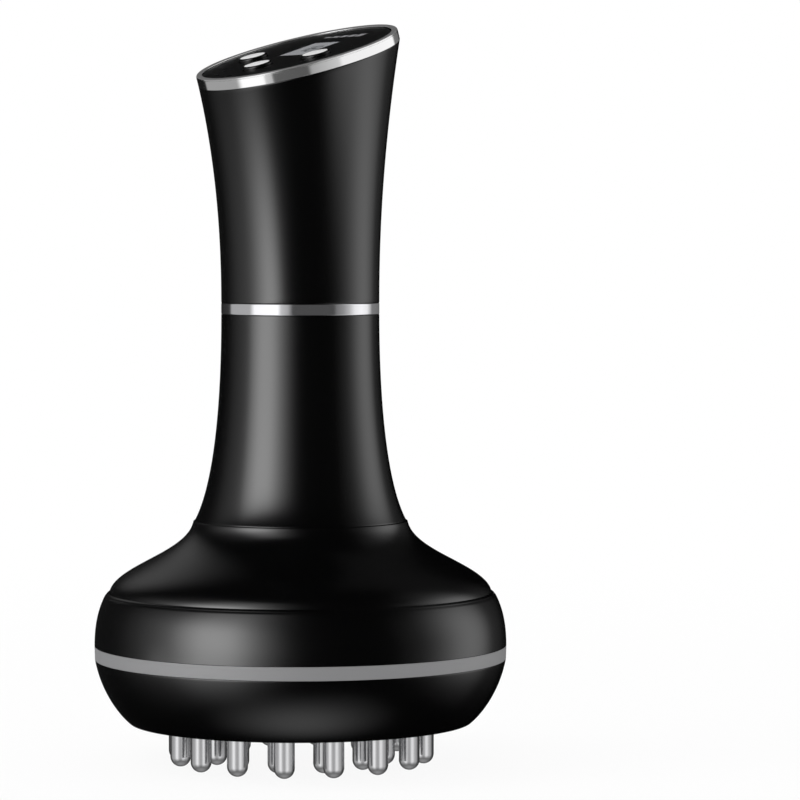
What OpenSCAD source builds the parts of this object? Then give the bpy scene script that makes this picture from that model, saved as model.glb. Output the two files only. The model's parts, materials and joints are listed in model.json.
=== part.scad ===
// Handheld body massager: a flared handle with a slanted control panel stands on a round
// head, whose underside carries two rings of metal massage pins.
// Millimetres. +Z is up along the head's axis, the pin tips lie on z = 0, and the low side
// of the slanted panel faces -Y.

/* [Massage pins] */
// Diameter of one massage pin
pin_d = 5; // [4:0.1:5.5]
// Length of a pin below the underside of the head
pin_reach = 10; // [8:0.5:13]
// Diameter of the shank that carries a pin in the comb plate
pin_shank_d = 3; // [2.4:0.1:3.4]
// Number of pins in the outer ring
outer_pin_count = 16; // [12:4:16]
// Radius of the outer ring of pins
outer_pin_ring_r = 30; // [28.5:0.25:30]
// Number of pins in the inner ring
inner_pin_count = 12; // [8:1:14]
// Radius of the inner ring of pins
inner_pin_ring_r = 21; // [20.5:0.25:22]

/* [Head] */
// Largest diameter of the head
head_d = 100; // [98:0.5:106]
// Height of the lower shell
bowl_h = 15.4; // [14.5:0.1:18]
// Radius of the flat underside
underside_r = 41.5; // [41.2:0.1:43]
// Height of the grey trim band
trim_h = 3.3; // [2.5:0.1:4.5]
// Height of the upper shell, from the trim band to the cover seam
band_h = 12.9; // [11.5:0.1:15]
// Radius of the upper shell at the cover seam
band_top_r = 47; // [46.8:0.1:47.6]
// Radius of the top cover at its lower edge
cover_edge_r = 46.4; // [45.8:0.1:46.5]
// Height of the top cover
cover_h = 17.3; // [16:0.1:20]
// Radius of the top cover at the neck seam
cover_top_r = 26; // [25.8:0.1:27]
// Wall of the shells of the head and the neck
shell_wall = 2.4; // [2:0.1:2.6]
// Thickness of the comb plate
plate_t = 3; // [2.6:0.1:3.6]
// Radius of the comb plate
plate_r = 40; // [39.8:0.1:40.6]
// Radius of the light lens in the comb plate
lens_r = 12; // [9:0.5:12.5]

/* [Handle] */
// Height of the lower handle, from the neck seam to the metal ring
neck_h = 50.1; // [46:0.5:60]
// Radius of the lower handle at the neck seam
neck_foot_r = 25.7; // [25.2:0.1:26]
// Radius of the handle at the metal ring
waist_r = 19.15; // [19:0.05:21]
// Height of the metal ring
ring_h = 2.7; // [2:0.1:4]
// Height of the upper handle along its axis
upper_h = 58.1; // [55:0.1:66]
// How much wider the handle is at the panel than at the ring
flare = 5.85; // [5:0.05:7]
// Power of the flare, higher keeps the handle slim for longer
flare_power = 2.1; // [1.8:0.1:2.6]
// How far the top of the handle leans to the front
lean = 0.3; // [0:0.1:1.5]
// Wall of the upper handle
upper_wall = 2.2; // [1.8:0.1:2.2]

/* [Control panel] */
// Slant of the control panel in degrees
slope = 17; // [12:0.5:19]
// Height of the bright bezel round the panel
bezel_h = 2.7; // [2.6:0.1:4.5]
// Width of the bezel's top lip
lip_w = 1.5; // [1.2:0.1:1.8]
// Depth of the panel's face below the lip
panel_recess = 0.4; // [0.2:0.1:0.6]
// Thickness of the control panel
panel_t = 1.6; // [1.4:0.1:1.8]
// Diameter of a button cap
button_d = 7.2; // [6:0.1:7.6]
// Height of a button cap above the panel
button_rise = 1; // [0.8:0.1:1.5]
// Travel of a button
button_travel = 0.5; // [0.2:0.05:0.5]
// Distance of the two side buttons from the middle of the panel
side_button_x = 12.4; // [12:0.1:12.6]
// Place of the two side buttons along the slant
side_button_y = -4; // [-5:0.1:-3]
// Place of the low button along the slant
low_button_y = -12.4; // [-12.6:0.1:-12]
// Width of the display window
display_w = 10; // [8:0.5:11]
// Length of the display window along the slant
display_l = 12; // [10:0.5:12.5]
// Place of the middle of the display along the slant
display_y = 4; // [3.5:0.1:5]
// Gap between the underside of the panel and the circuit board
board_gap = 5.8; // [5.6:0.1:6.2]

/* [Power and motor] */
// Diameter of the round battery cell
cell_d = 18.4; // [16:0.1:18.6]
// Length of the round battery cell
cell_l = 65; // [55:0.5:65.5]
// Diameter of the motor
motor_d = 24; // [20:0.5:25]
// Length of the motor's can
motor_l = 25; // [22:0.5:26]
// Diameter of the motor's shaft
shaft_d = 2; // [1.5:0.1:3]
// Radius of the eccentric weight
weight_r = 10; // [8:0.5:11]
// Height of the eccentric weight
weight_h = 6; // [4:0.5:6.5]
// Width of the charging socket
socket_w = 8.94; // [8.5:0.02:9.2]
// Height of the charging socket
socket_h = 3.26; // [3:0.02:3.4]

/* [Hidden] */
$fn = 96;
pin_r = pin_d / 2;
shank_r = pin_shank_d / 2;
head_r = head_d / 2;
cell_r = cell_d / 2;
motor_r = motor_d / 2;
shaft_r = shaft_d / 2;
button_r = button_d / 2;

// Clearances between pieces
slide_gap = 0.15; // round a button cap
run_gap = 0.05; // round a shaft, a screw or a shank in its hole
fit_gap = 0.2; // between parts that are pushed together by hand
free_gap = 0.3; // between parts that must not touch
cut = 1; // how far a cutting solid runs past what it cuts

// Levels of the seams, from the pin tips up
underside_z = pin_reach;
trim_z = underside_z + bowl_h;
band_z = trim_z + trim_h;
seam_z = band_z + band_h;
neck_z = seam_z + cover_h;
ring_z = neck_z + neck_h;
upper_z = ring_z + ring_h;
panel_z = upper_z + upper_h;

// Outer curves of the revolved shells, from the top down, as radius and height
curve_steps = 20;
neck_curve = bezier_curve([
    [waist_r, ring_z],
    [waist_r, ring_z - neck_h * 0.42],
    [neck_foot_r - 4.75, neck_z + neck_h * 0.178],
    [neck_foot_r, neck_z]]);
cover_curve = bezier_curve([
    [cover_top_r, neck_z],
    [cover_top_r + 1.3, neck_z - cover_h * 0.455],
    [cover_edge_r - 1.2, seam_z + cover_h * 0.36],
    [cover_edge_r, seam_z]]);
band_curve = bezier_curve([
    [band_top_r, seam_z],
    [band_top_r + 1.6, seam_z - band_h * 0.21],
    [head_r, band_z + band_h * 0.49],
    [head_r, band_z]]);
trim_foot_r = head_r - 0.1;
bowl_curve = bezier_curve([
    [trim_foot_r, trim_z],
    [trim_foot_r - 1.3, trim_z - bowl_h * 0.46],
    [underside_r + 3.3, underside_z + bowl_h * 0.175],
    [underside_r, underside_z]]);

// Fits of the shells into each other
edge_chamfer = 0.25;
seat_depth = 1.2; // how far the top cover sinks into the upper shell
seat_z = seam_z - seat_depth;
seat_t = 2;
seat_lap = 1; // how far the ledge reaches in past the cover's wall
spigot_r = head_r - shell_wall - free_gap;
spigot_wall = 2;
spigot_reach = 3;
spigot_root = 5;
trim_bore_r = head_r - shell_wall;
handle_spigot_r = waist_r - shell_wall;
handle_spigot_wall = 1.85;
handle_spigot_bore = handle_spigot_r - handle_spigot_wall;
handle_spigot_up = 9;
handle_spigot_down = 3;
spigot_top_z = ring_z + handle_spigot_up;

// Screws: radius of shank and head, and height of the head
small_screw = [0.8, 1.6, 1.2];
board_screw = [1, 1.9, 1.2];
plate_screw = [1, 2, 1.4];
neck_screw = [1.25, 2.2, 1.6];
head_screw = [1.25, 2.3, 1.8];

// Joint of the neck with the top cover
flange_t = 3;
neck_opening_r = 15.5;
neck_screw_count = 4;
neck_screw_ring_r = 18.6;
neck_screw_turn = 45;
neck_boss_r = 2.4;
neck_boss_h = 5;

// Stack inside the head
plate_top_z = underside_z + plate_t;
ledge_t = 2.4;
ledge_r = plate_r - 6.4;
clamp_ring_r = plate_r - 3.2;
plate_screw_z = underside_z + plate_screw[2] + 0.2;
post_r = 3.7;
head_pocket_r = 2.7;
head_pocket_h = 8;
mount_t = 2;
mount_z = plate_top_z + 16;
upper_post_z = mount_z + mount_t;
upper_post_r = 3.2;
head_screw_count = 4;
head_screw_l = 17;
head_hole_top_z = plate_top_z + head_pocket_h + head_screw_l + 2.5;
contact_t = 0.6;
contact_w = pin_d + 0.6;
rivet_r = shank_r + 0.8;
rivet_h = 1.2;
inner_pin_turn = 90 / inner_pin_count;
outer_spring_turn = 180 / outer_pin_count;
inner_spring_turn = inner_pin_turn + 180 / inner_pin_count;
spring_r = 0.8;
board_arm_w = 4;

// Light under the lens
lens_flange_w = 1.4;
lens_flange_t = 1.2;
lens_face_t = 2;
light_post_r = 1.8;
light_post_ring_r = lens_r + lens_flange_w + fit_gap + light_post_r + 0.2;
light_board_r = light_post_ring_r + 1;
light_board_t = 1;
light_gap = 3;
light_board_z = plate_top_z + light_gap;
light_screw_count = 3;
led_count = 8;
led_r = 1.5;
led_h = 1;
led_ring_r = lens_r - 4;

// Motor
motor_z = upper_post_z;
can_wall = 1;
cup_wall = 1.6;
sleeve_wall = 1.2;
cup_bore_r = motor_r + sleeve_wall + run_gap * 2;
cup_h = motor_l * 0.48;
nose_r = 3;
nose_h = 1.4;
nose_hole_r = 7;
magnet_t = 2;
magnet_over = 1; // how far the magnets reach past each end of the rotor
magnet_split = 4; // width of the gap between them
rotor_r = motor_r - can_wall - magnet_t - 0.7;
rotor_z = motor_z + 4;
rotor_h = motor_l - 10;
end_cap_t = 2;
shaft_top_z = motor_z + motor_l;
weight_z = mount_z - 0.8 - weight_h;
shaft_foot_z = weight_z - 0.5;
hub_r = shaft_r + 2;

// Stack under the control panel, measured square to it from the top of the upper handle
top_r = waist_r + flare;
panel_r = top_r - lip_w - fit_gap;
panel_top_w = bezel_h - panel_recess;
panel_foot_w = panel_top_w - panel_t;
skirt_h = 2.4;
wall_run = flare * flare_power / upper_h; // how fast the handle widens at its top
skirt_r = top_r - upper_wall - fit_gap - skirt_h * (sin(slope) + wall_run);
skirt_wall = 1.4;
seat_r = skirt_r - skirt_wall;
board_w = panel_foot_w - board_gap;
board_t = 1.2;
chip_h = 2; // the tallest chip under the board
board_r = seat_r - 0.4;
boss_r = 2.3;
boss_ring_r = seat_r - boss_r - free_gap;
boss_angles = [25, 155, 245, 295];
button_flange_w = 0.8;
button_flange_t = 0.9;
stem_r = 1.5;
plunger_r = 1.6;
plunger_rise = 1;
plunger_sink = 1.2;
switch_size = 6;
switch_h = 2.6;
switch_top_w = board_w + switch_h;
plunger_top_w = switch_top_w + plunger_rise;
display_ledge = 1;
lens_t = 1;
button_spots = [[-side_button_x, side_button_y], [0, low_button_y], [side_button_x, side_button_y]];
plug_size = [6, 4, 4];
plug_x = 7.5;
plug_y = 9.4;

// Battery and charging socket
cell_y = -2; // the cell sits this far before the handle's middle, away from the socket
cell_fit_r = cell_r + fit_gap;
cradle_wall = 1.3;
cradle_r = cell_fit_r + cradle_wall;
cradle_top_gap = 2.6; // between the cradle and the chips of the slanted board
cradle_top_z = panel_point([0, cell_y - cradle_r, board_w - board_t - chip_h])[2] - cradle_top_gap;
contact_plate_t = 0.5;
contact_plate_w = 11;
strip_w = 3;
strip_t = 0.5;
strip_reach = 6; // how far a strip reaches past the end of the charging board
strip_gap = 2; // between the two strips
end_wall_t = 2;
cell_z = cradle_top_z - end_wall_t - contact_plate_t - cell_l;
cradle_foot_z = cell_z - contact_plate_t - end_wall_t;
collar_t = 2;
collar_r = handle_spigot_r - 0.25;
cradle_boss_r = 2.1;
cradle_screw_x = handle_spigot_bore - 1.5;
window_w = 12.8;
charge_board_w = 18.6;
charge_board_l = 21;
charge_board_t = 1;
charge_board_y = cell_y + cell_r + 1.2;
socket_drop = 10.5; // from the ring down to the middle of the socket
socket_z = ring_z - socket_drop;
charge_board_z = socket_z - charge_board_l / 2;
charge_screw = [0.6, 1.1, 0.8];
charge_screw_inset = 2;
charge_screw_l = 4;
socket_back_y = charge_board_y + charge_board_t;
socket_mouth_y = handle_spigot_r - 0.15;
socket_slot_gap = 0.25;
notch_w = socket_w + 2.2;
charge_screw_x = window_w / 2 + 1.5;
charge_plug_size = [6, 3, 4];
charge_plug_z = socket_z + 5;
plug_recess_w = 12.4;
plug_recess_h = 6.6;
plug_recess_depth = 1.1;

// Cables, as points from the plugs of the control board down
cable_d = 2;
cable_sides = 8;
cable_x = charge_board_w / 2 + cable_d / 2 + 0.7;
cable_y = 6;
down = [0, sin(slope), -cos(slope)];
plug_foot_w = board_w - board_t - plug_size[2];
motor_plug_size = [8, 5, 4];
motor_plug_z = motor_z + motor_l + end_cap_t;
light_plug_size = [4, 4, 2.5];
light_plug_x = -light_board_r + 4;
light_plug_z = light_board_z + light_board_t;
opening_x = -(motor_r + neck_opening_r) / 2;
motor_cable_route = concat(side_cable_top(1), [
    [9.5, 5, neck_z + 17],
    [5, 2.5, neck_z + 10],
    [1, 0.5, neck_z + 7],
    [0, 0, motor_plug_z + motor_plug_size[2] + 1.5],
    [0, 0, motor_plug_z + motor_plug_size[2]]]);
light_cable_route = concat(side_cable_top(-1), [
    [-12.5, 4, neck_z + 15],
    [-13.6, 1.5, neck_z + 8],
    [opening_x, 0, neck_z + 2],
    [opening_x, 0, neck_z - 2],
    [-16, 0, neck_z - 6.5],
    [-24, 0, neck_z - 14.5],
    [-26, 0, mount_z + 8],
    [-26, 0, mount_z - 1],
    [-24, 0, mount_z - 4.5],
    [light_plug_x - 2.5, 0, light_plug_z + 5.4],
    [light_plug_x, 0, light_plug_z + 4.6],
    [light_plug_x, 0, light_plug_z + light_plug_size[2]]]);
power_cable_y = charge_board_y + charge_board_t + charge_plug_size[1] / 2;
power_cable_route = [
    panel_point([0, plug_y, plug_foot_w]),
    panel_point([0, plug_y, plug_foot_w - 3]),
    [0, 12.2, panel_z - 15],
    [0, 11.6, panel_z - 25],
    [0, power_cable_y, spigot_top_z + 10],
    [0, power_cable_y, charge_plug_z + charge_plug_size[2]]];

// Curves and placing

function bezier(p, t) = let (u = 1 - t)
    u * u * u * p[0] + 3 * u * u * t * p[1] + 3 * u * t * t * p[2] + t * t * t * p[3];

function bezier_curve(p) = [for (i = [0:curve_steps]) bezier(p, i / curve_steps)];

// The same curve moved square to itself, towards the axis
function inset(curve, depth) = let (last = len(curve) - 1)
    [for (i = [0:last])
        let (run = curve[min(i + 1, last)] - curve[max(i - 1, 0)])
        curve[i] + depth * [run[1], -run[0]] / norm(run)];

// Radius of the upper handle at a share of its height
function handle_radius(t) = waist_r + flare * pow(t, flare_power);

// A point given square to the control panel, in the frame of the whole object
function panel_point(p) = [
    p[0],
    -lean + p[1] * cos(slope) - p[2] * sin(slope),
    panel_z + p[1] * sin(slope) + p[2] * cos(slope)];

// The first points of the two cables that pass beside the battery, on one side or the other
function side_cable_top(side) = [
    panel_point([side * plug_x, plug_y, plug_foot_w]),
    panel_point([side * plug_x, plug_y, plug_foot_w - 3]),
    [side * (plug_x + 1), 11, panel_z - 15.5],
    [side * (cable_x - 0.5), 8, panel_z - 24],
    [side * cable_x, cable_y, spigot_top_z + 12],
    [side * cable_x, cable_y, ring_z],
    [side * cable_x, cable_y, cradle_foot_z - 4]];

module on_panel() {
    translate([0, -lean, panel_z])
        rotate([slope, 0, 0])
            children();
}

module at_buttons() {
    for (spot = button_spots)
        translate([spot[0], spot[1], 0])
            children();
}

module ring_of(count, radius, turn = 0) {
    for (i = [0:count - 1])
        rotate(turn + i * 360 / count)
            translate([radius, 0, 0])
                children();
}

// The half profile between a curve and the axis
module filled(curve) {
    last = len(curve) - 1;
    polygon(concat([[0, curve[0][1]]], curve, [[0, curve[last][1]]]));
}

module tube(outer, inner, h) {
    difference() {
        cylinder(r = outer, h = h);
        translate([0, 0, -cut])
            cylinder(r = inner, h = h + 2 * cut);
    }
}

// A pan-head screw with its head down and its shank up from z = 0
module screw(kind, length) {
    cylinder(r = kind[0], h = length);
    translate([0, 0, -kind[2]])
        difference() {
            cylinder(r = kind[1], h = kind[2]);
            for (turn = [0, 90])
                rotate(turn)
                    translate([-kind[1] * 0.6, -0.25, -cut])
                        cube([kind[1] * 1.2, 0.5, cut + kind[2] * 0.4]);
        }
}

// A flat slot with round ends that runs along +Y
module round_slot(width, height, length) {
    rotate([-90, 0, 0])
        linear_extrude(height = length)
            union() {
                square([width - height, height], center = true);
                for (side = [-1, 1])
                    translate([side * (width - height) / 2, 0])
                        circle(d = height);
            }
}

// Control panel and what lies under it

module panel_bezel() color([0.78, 0.78, 0.8])
    on_panel()
        rotate_extrude()
            polygon([
                [top_r, 0],
                [top_r, bezel_h - 0.6],
                [top_r - 0.18, bezel_h - 0.18],
                [top_r - 0.6, bezel_h],
                [top_r - lip_w + 0.3, bezel_h],
                [top_r - lip_w, bezel_h - 0.2],
                [top_r - lip_w, panel_foot_w],
                [seat_r, panel_foot_w],
                [seat_r, -skirt_h],
                [skirt_r, -skirt_h],
                [skirt_r, 0]]);

module control_panel() color([0.05, 0.05, 0.06])
    on_panel()
        difference() {
            union() {
                translate([0, 0, panel_foot_w])
                    cylinder(r = panel_r, h = panel_t);
                for (angle = boss_angles)
                    rotate(angle)
                        translate([boss_ring_r, 0, board_w])
                            cylinder(r = boss_r, h = board_gap + panel_t / 2);
            }
            at_buttons()
                translate([0, 0, panel_foot_w - cut])
                    cylinder(r = button_r + slide_gap, h = panel_t + 2 * cut);
            translate([-display_w / 2, display_y - display_l / 2, panel_top_w - lens_t])
                cube([display_w, display_l, lens_t + cut]);
            translate([
                -display_w / 2 + display_ledge,
                display_y - display_l / 2 + display_ledge,
                panel_foot_w - cut])
                cube([
                    display_w - 2 * display_ledge,
                    display_l - 2 * display_ledge,
                    panel_t + cut]);
            for (angle = boss_angles)
                rotate(angle)
                    translate([boss_ring_r, 0, board_w - cut])
                        cylinder(r = board_screw[0] + run_gap, h = board_gap - 0.6 + cut);
        }

module display_lens() color([0.55, 0.57, 0.6])
    on_panel()
        translate([
            -display_w / 2 + run_gap,
            display_y - display_l / 2 + run_gap,
            panel_top_w - lens_t])
            cube([display_w - 2 * run_gap, display_l - 2 * run_gap, lens_t]);

module display_module() color([0.2, 0.21, 0.22])
    on_panel()
        translate([-display_w / 2 - 0.5, display_y - display_l / 2 - 0.5, board_w])
            cube([display_w + 1, display_l + 1, board_gap - free_gap]);

// A cap with a flange that holds it under the panel, and a stem that reaches its switch
module button(spot) color([0.85, 0.85, 0.86])
    on_panel()
        translate([spot[0], spot[1], 0])
            rotate_extrude()
                polygon([
                    [0, plunger_top_w],
                    [stem_r, plunger_top_w],
                    [stem_r, panel_foot_w - free_gap - button_flange_t],
                    [button_r + button_flange_w, panel_foot_w - free_gap - button_flange_t],
                    [button_r + button_flange_w, panel_foot_w - free_gap],
                    [button_r, panel_foot_w - free_gap],
                    [button_r, panel_top_w + button_rise - 0.35],
                    [button_r - 0.35, panel_top_w + button_rise],
                    [0, panel_top_w + button_rise]]);

module left_button() button(button_spots[0]);
module low_button() button(button_spots[1]);
module right_button() button(button_spots[2]);

module plunger(spot) color([0.15, 0.15, 0.15])
    on_panel()
        translate([spot[0], spot[1], switch_top_w - plunger_sink])
            cylinder(r = plunger_r, h = plunger_rise + plunger_sink);

module left_plunger() plunger(button_spots[0]);
module low_plunger() plunger(button_spots[1]);
module right_plunger() plunger(button_spots[2]);

module switch_bodies() color([0.25, 0.25, 0.27])
    on_panel()
        at_buttons()
            difference() {
                translate([-switch_size / 2, -switch_size / 2, board_w])
                    cube([switch_size, switch_size, switch_h]);
                translate([0, 0, switch_top_w - plunger_sink - button_travel - run_gap])
                    cylinder(r = plunger_r + run_gap, h = switch_h);
            }

module control_board() color([0.1, 0.35, 0.2])
    on_panel()
        difference() {
            translate([0, 0, board_w - board_t])
                cylinder(r = board_r, h = board_t);
            for (angle = boss_angles)
                rotate(angle)
                    translate([boss_ring_r, 0, board_w - board_t - cut])
                        cylinder(r = board_screw[0] + run_gap, h = board_t + 2 * cut);
        }

// Corner and size of the controller and of three smaller chips, under the board
chips = [
    [[-3.5, -3.5], [7, 7, 1.4]],
    [[-12, -6], [3.2, 5, 1.1]],
    [[8, -7], [4.5, 4.5, chip_h]],
    [[-1.6, -12], [3.2, 1.6, 1]]];

module board_chips() color([0.12, 0.12, 0.13])
    on_panel()
        for (chip = chips)
            translate([chip[0][0], chip[0][1], board_w - board_t - chip[1][2]])
                cube(chip[1]);

module board_plugs() color([0.9, 0.88, 0.8])
    on_panel()
        for (x = [-plug_x, 0, plug_x])
            translate([x - plug_size[0] / 2, plug_y - plug_size[1] / 2, plug_foot_w])
                cube(plug_size);

module board_screws() color([0.7, 0.7, 0.72])
    on_panel()
        for (angle = boss_angles)
            rotate(angle)
                translate([boss_ring_r, 0, board_w - board_t])
                    screw(board_screw, board_t + board_gap - 1.2);

// Handle

// One ring of points round the upper handle, at a share of its height
handle_around = 64;
handle_sections = 16;
function handle_ring_points(t, depth) =
    let (r = handle_radius(t) - depth, tilt = slope * t)
    [for (k = [0:handle_around - 1])
        let (turn = 360 * k / handle_around)
        [r * cos(turn),
            -lean * pow(t, 3) + r * sin(turn) * cos(tilt),
            upper_z + upper_h * t + r * sin(turn) * sin(tilt)]];

// The outside and the inside are lofted through sections that tilt step by step from the
// level ring to the slanted panel, and share one closed mesh
module upper_handle_shell() color([0.08, 0.08, 0.09]) {
    n = handle_around;
    m = handle_sections;
    inner = n * (m + 1);
    points = [for (depth = [0, upper_wall], i = [0:m], p = handle_ring_points(i / m, depth)) p];
    walls = [for (i = [0:m - 1], k = [0:n - 1])
        let (a = i * n + k, b = i * n + (k + 1) % n, c = b + n, d = a + n)
        each [[a, d, b], [b, d, c],
            [inner + a, inner + b, inner + d], [inner + b, inner + c, inner + d]]];
    ends = [for (k = [0:n - 1])
        let (a = k, b = (k + 1) % n, c = m * n + k, d = m * n + (k + 1) % n)
        each [[a, b, inner + a], [b, inner + b, inner + a],
            [c, inner + c, d], [d, inner + c, inner + d]]];
    polyhedron(points, concat(walls, ends));
}

module handle_ring() color([0.8, 0.8, 0.82])
    rotate_extrude()
        polygon([
            [handle_spigot_r + fit_gap / 2, ring_z],
            [waist_r - edge_chamfer, ring_z],
            [waist_r, ring_z + edge_chamfer],
            [waist_r, upper_z - edge_chamfer],
            [waist_r - edge_chamfer, upper_z],
            [handle_spigot_r + fit_gap / 2, upper_z]]);

// The flared neck, with the spigot that carries the ring and the upper handle, and the
// flange that the head is screwed to
module lower_handle_shell() color([0.08, 0.08, 0.09])
    difference() {
        union() {
            rotate_extrude()
                difference() {
                    filled(neck_curve);
                    difference() {
                        filled(concat(
                            [[handle_spigot_r, ring_z + cut]],
                            inset(neck_curve, shell_wall),
                            [[neck_foot_r - shell_wall, neck_z - cut]]));
                        translate([0, neck_z - cut])
                            square([neck_foot_r, flange_t + cut]);
                    }
                    translate([0, neck_z - cut])
                        square([neck_opening_r, neck_h + 2 * cut]);
                    translate([0, neck_z + flange_t])
                        square([handle_spigot_bore, neck_h]);
                }
            difference() {
                translate([0, 0, ring_z - handle_spigot_down])
                    tube(handle_spigot_r + fit_gap / 4, handle_spigot_bore, handle_spigot_down);
                notch();
            }
            difference() {
                union() {
                    translate([0, 0, ring_z])
                        tube(handle_spigot_r, handle_spigot_bore, handle_spigot_up);
                    intersection() {
                        for (side = [-1, 1])
                            translate([side * cradle_screw_x, cell_y, ring_z - handle_spigot_down])
                                cylinder(r = cradle_boss_r, h = handle_spigot_down + handle_spigot_up);
                        cylinder(r = handle_spigot_r, h = panel_z);
                    }
                }
                notch();
            }
            ring_of(neck_screw_count, neck_screw_ring_r, neck_screw_turn)
                translate([0, 0, neck_z + flange_t / 2])
                    cylinder(r = neck_boss_r, h = neck_boss_h + flange_t / 2);
        }
        for (side = [-1, 1])
            translate([side * cradle_screw_x, cell_y, spigot_top_z - 8])
                cylinder(r = small_screw[0] + run_gap, h = 8 + cut);
        ring_of(neck_screw_count, neck_screw_ring_r, neck_screw_turn)
            translate([0, 0, neck_z - cut])
                cylinder(r = neck_screw[0] + run_gap, h = flange_t + neck_boss_h - 1 + cut);
        translate([0, handle_spigot_bore - cut, socket_z])
            round_slot(socket_w + 2 * socket_slot_gap, socket_h + 2 * socket_slot_gap, waist_r);
        translate([0, waist_r - plug_recess_depth, socket_z])
            round_slot(plug_recess_w, plug_recess_h, waist_r);
    }

// Keyway in the spigot that lets the charging socket slide past it
module notch() {
    translate([-notch_w / 2, 0, ring_z - handle_spigot_down - cut])
        cube([notch_w, waist_r, handle_spigot_down + handle_spigot_up + 2 * cut]);
}

module neck_screws() color([0.7, 0.7, 0.72])
    ring_of(neck_screw_count, neck_screw_ring_r, neck_screw_turn)
        translate([0, 0, neck_z - flange_t])
            screw(neck_screw, flange_t * 2 + neck_boss_h - 2);

// Battery and charging

module battery_cell() color([0.2, 0.45, 0.7])
    translate([0, cell_y, cell_z])
        rotate_extrude()
            polygon([
                [0, 0],
                [cell_r - 0.5, 0],
                [cell_r, 0.5],
                [cell_r, cell_l - 1.5],
                [cell_r - 0.5, cell_l - 1],
                [cell_r * 0.42, cell_l - 1],
                [cell_r * 0.42, cell_l],
                [0, cell_l]]);

// A plate against each end of the cell, with a strip that runs along it to the board
module battery_contacts() color([0.8, 0.8, 0.78]) {
    low_z = cell_z - contact_plate_t;
    high_z = cell_z + cell_l;
    contact_strip(low_z, -strip_w - strip_gap / 2, charge_board_z + strip_reach - low_z);
    contact_strip(high_z, strip_gap / 2, charge_board_z + charge_board_l - strip_reach - high_z);
}

module contact_strip(z, x, run) {
    translate([-contact_plate_w / 2, cell_y - contact_plate_w / 2, z])
        cube([contact_plate_w, contact_plate_w, contact_plate_t]);
    translate([x, cell_y, z])
        cube([strip_w, charge_board_y - cell_y, contact_plate_t]);
    low = min(z, z + run);
    translate([x, charge_board_y - strip_t, low])
        cube([strip_w, strip_t, max(z + contact_plate_t, z + run) - low]);
}

// A trough for the cell with a collar that sits on the spigot and two ribs for the board
module battery_cradle() color([0.85, 0.85, 0.82])
    difference() {
        union() {
            translate([0, cell_y, cradle_foot_z])
                cylinder(r = cradle_r, h = cradle_top_z - cradle_foot_z);
            difference() {
                translate([0, 0, spigot_top_z])
                    cylinder(r = collar_r, h = collar_t);
                translate([
                    -cable_x - cable_d / 2 - free_gap,
                    cable_y - cable_d / 2 - free_gap,
                    spigot_top_z - cut])
                    cube([2 * cable_x + cable_d + 2 * free_gap, waist_r, collar_t + 2 * cut]);
            }
            translate([-charge_board_w / 2, cell_y, charge_board_z])
                cube([charge_board_w, charge_board_y - cell_y, charge_board_l]);
        }
        translate([0, cell_y, cell_z - contact_plate_t])
            cylinder(r = cell_fit_r, h = cell_l + 2 * contact_plate_t);
        translate([-window_w / 2, cell_y, cell_z - contact_plate_t])
            cube([window_w, waist_r, cell_l + 2 * contact_plate_t]);
        translate([-charge_board_w / 2, charge_board_y, charge_board_z])
            cube([charge_board_w, waist_r, charge_board_l]);
        for (side = [-1, 1])
            translate([side * cradle_screw_x, cell_y, spigot_top_z - cut])
                cylinder(r = small_screw[0] + run_gap, h = collar_t + 2 * cut);
        charge_screw_places()
            rotate([90, 0, 0])
                cylinder(r = charge_screw[0] + run_gap, h = charge_screw_l + 0.4);
    }

module cradle_screws() color([0.7, 0.7, 0.72])
    for (side = [-1, 1])
        translate([side * cradle_screw_x, cell_y, spigot_top_z + collar_t])
            rotate([180, 0, 0])
                screw(small_screw, collar_t + 6);

module charge_screw_places() {
    for (side = [-1, 1], z = [charge_screw_inset, charge_board_l - charge_screw_inset])
        translate([side * charge_screw_x, charge_board_y, charge_board_z + z])
            children();
}

module charging_board() color([0.1, 0.3, 0.45])
    difference() {
        translate([-charge_board_w / 2, charge_board_y, charge_board_z])
            cube([charge_board_w, charge_board_t, charge_board_l]);
        charge_screw_places()
            translate([0, charge_board_t + cut, 0])
                rotate([90, 0, 0])
                    cylinder(r = charge_screw[0] + run_gap, h = charge_board_t + 2 * cut);
    }

module charging_board_screws() color([0.7, 0.7, 0.72])
    charge_screw_places()
        translate([0, charge_board_t, 0])
            rotate([90, 0, 0])
                screw(charge_screw, charge_board_t + charge_screw_l);

module charging_socket() color([0.75, 0.75, 0.77])
    translate([0, socket_back_y, socket_z])
        difference() {
            round_slot(socket_w, socket_h, socket_mouth_y - socket_back_y);
            translate([0, 1.4, 0])
                round_slot(socket_w - 0.6, socket_h - 0.6, socket_mouth_y - socket_back_y);
        }

module socket_tongue() color([0.15, 0.15, 0.15])
    translate([-socket_w * 0.37, socket_back_y + 1.4, socket_z - 0.35])
        cube([socket_w * 0.74, socket_mouth_y - socket_back_y - 2.4, 0.7]);

module charging_board_plug() color([0.9, 0.88, 0.8])
    translate([-charge_plug_size[0] / 2, socket_back_y, charge_plug_z])
        cube(charge_plug_size);

// Head

module posts(count, radius, turn, low, high) {
    ring_of(count, clamp_ring_r, turn)
        translate([0, 0, low])
            cylinder(r = radius, h = high - low);
}

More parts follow.
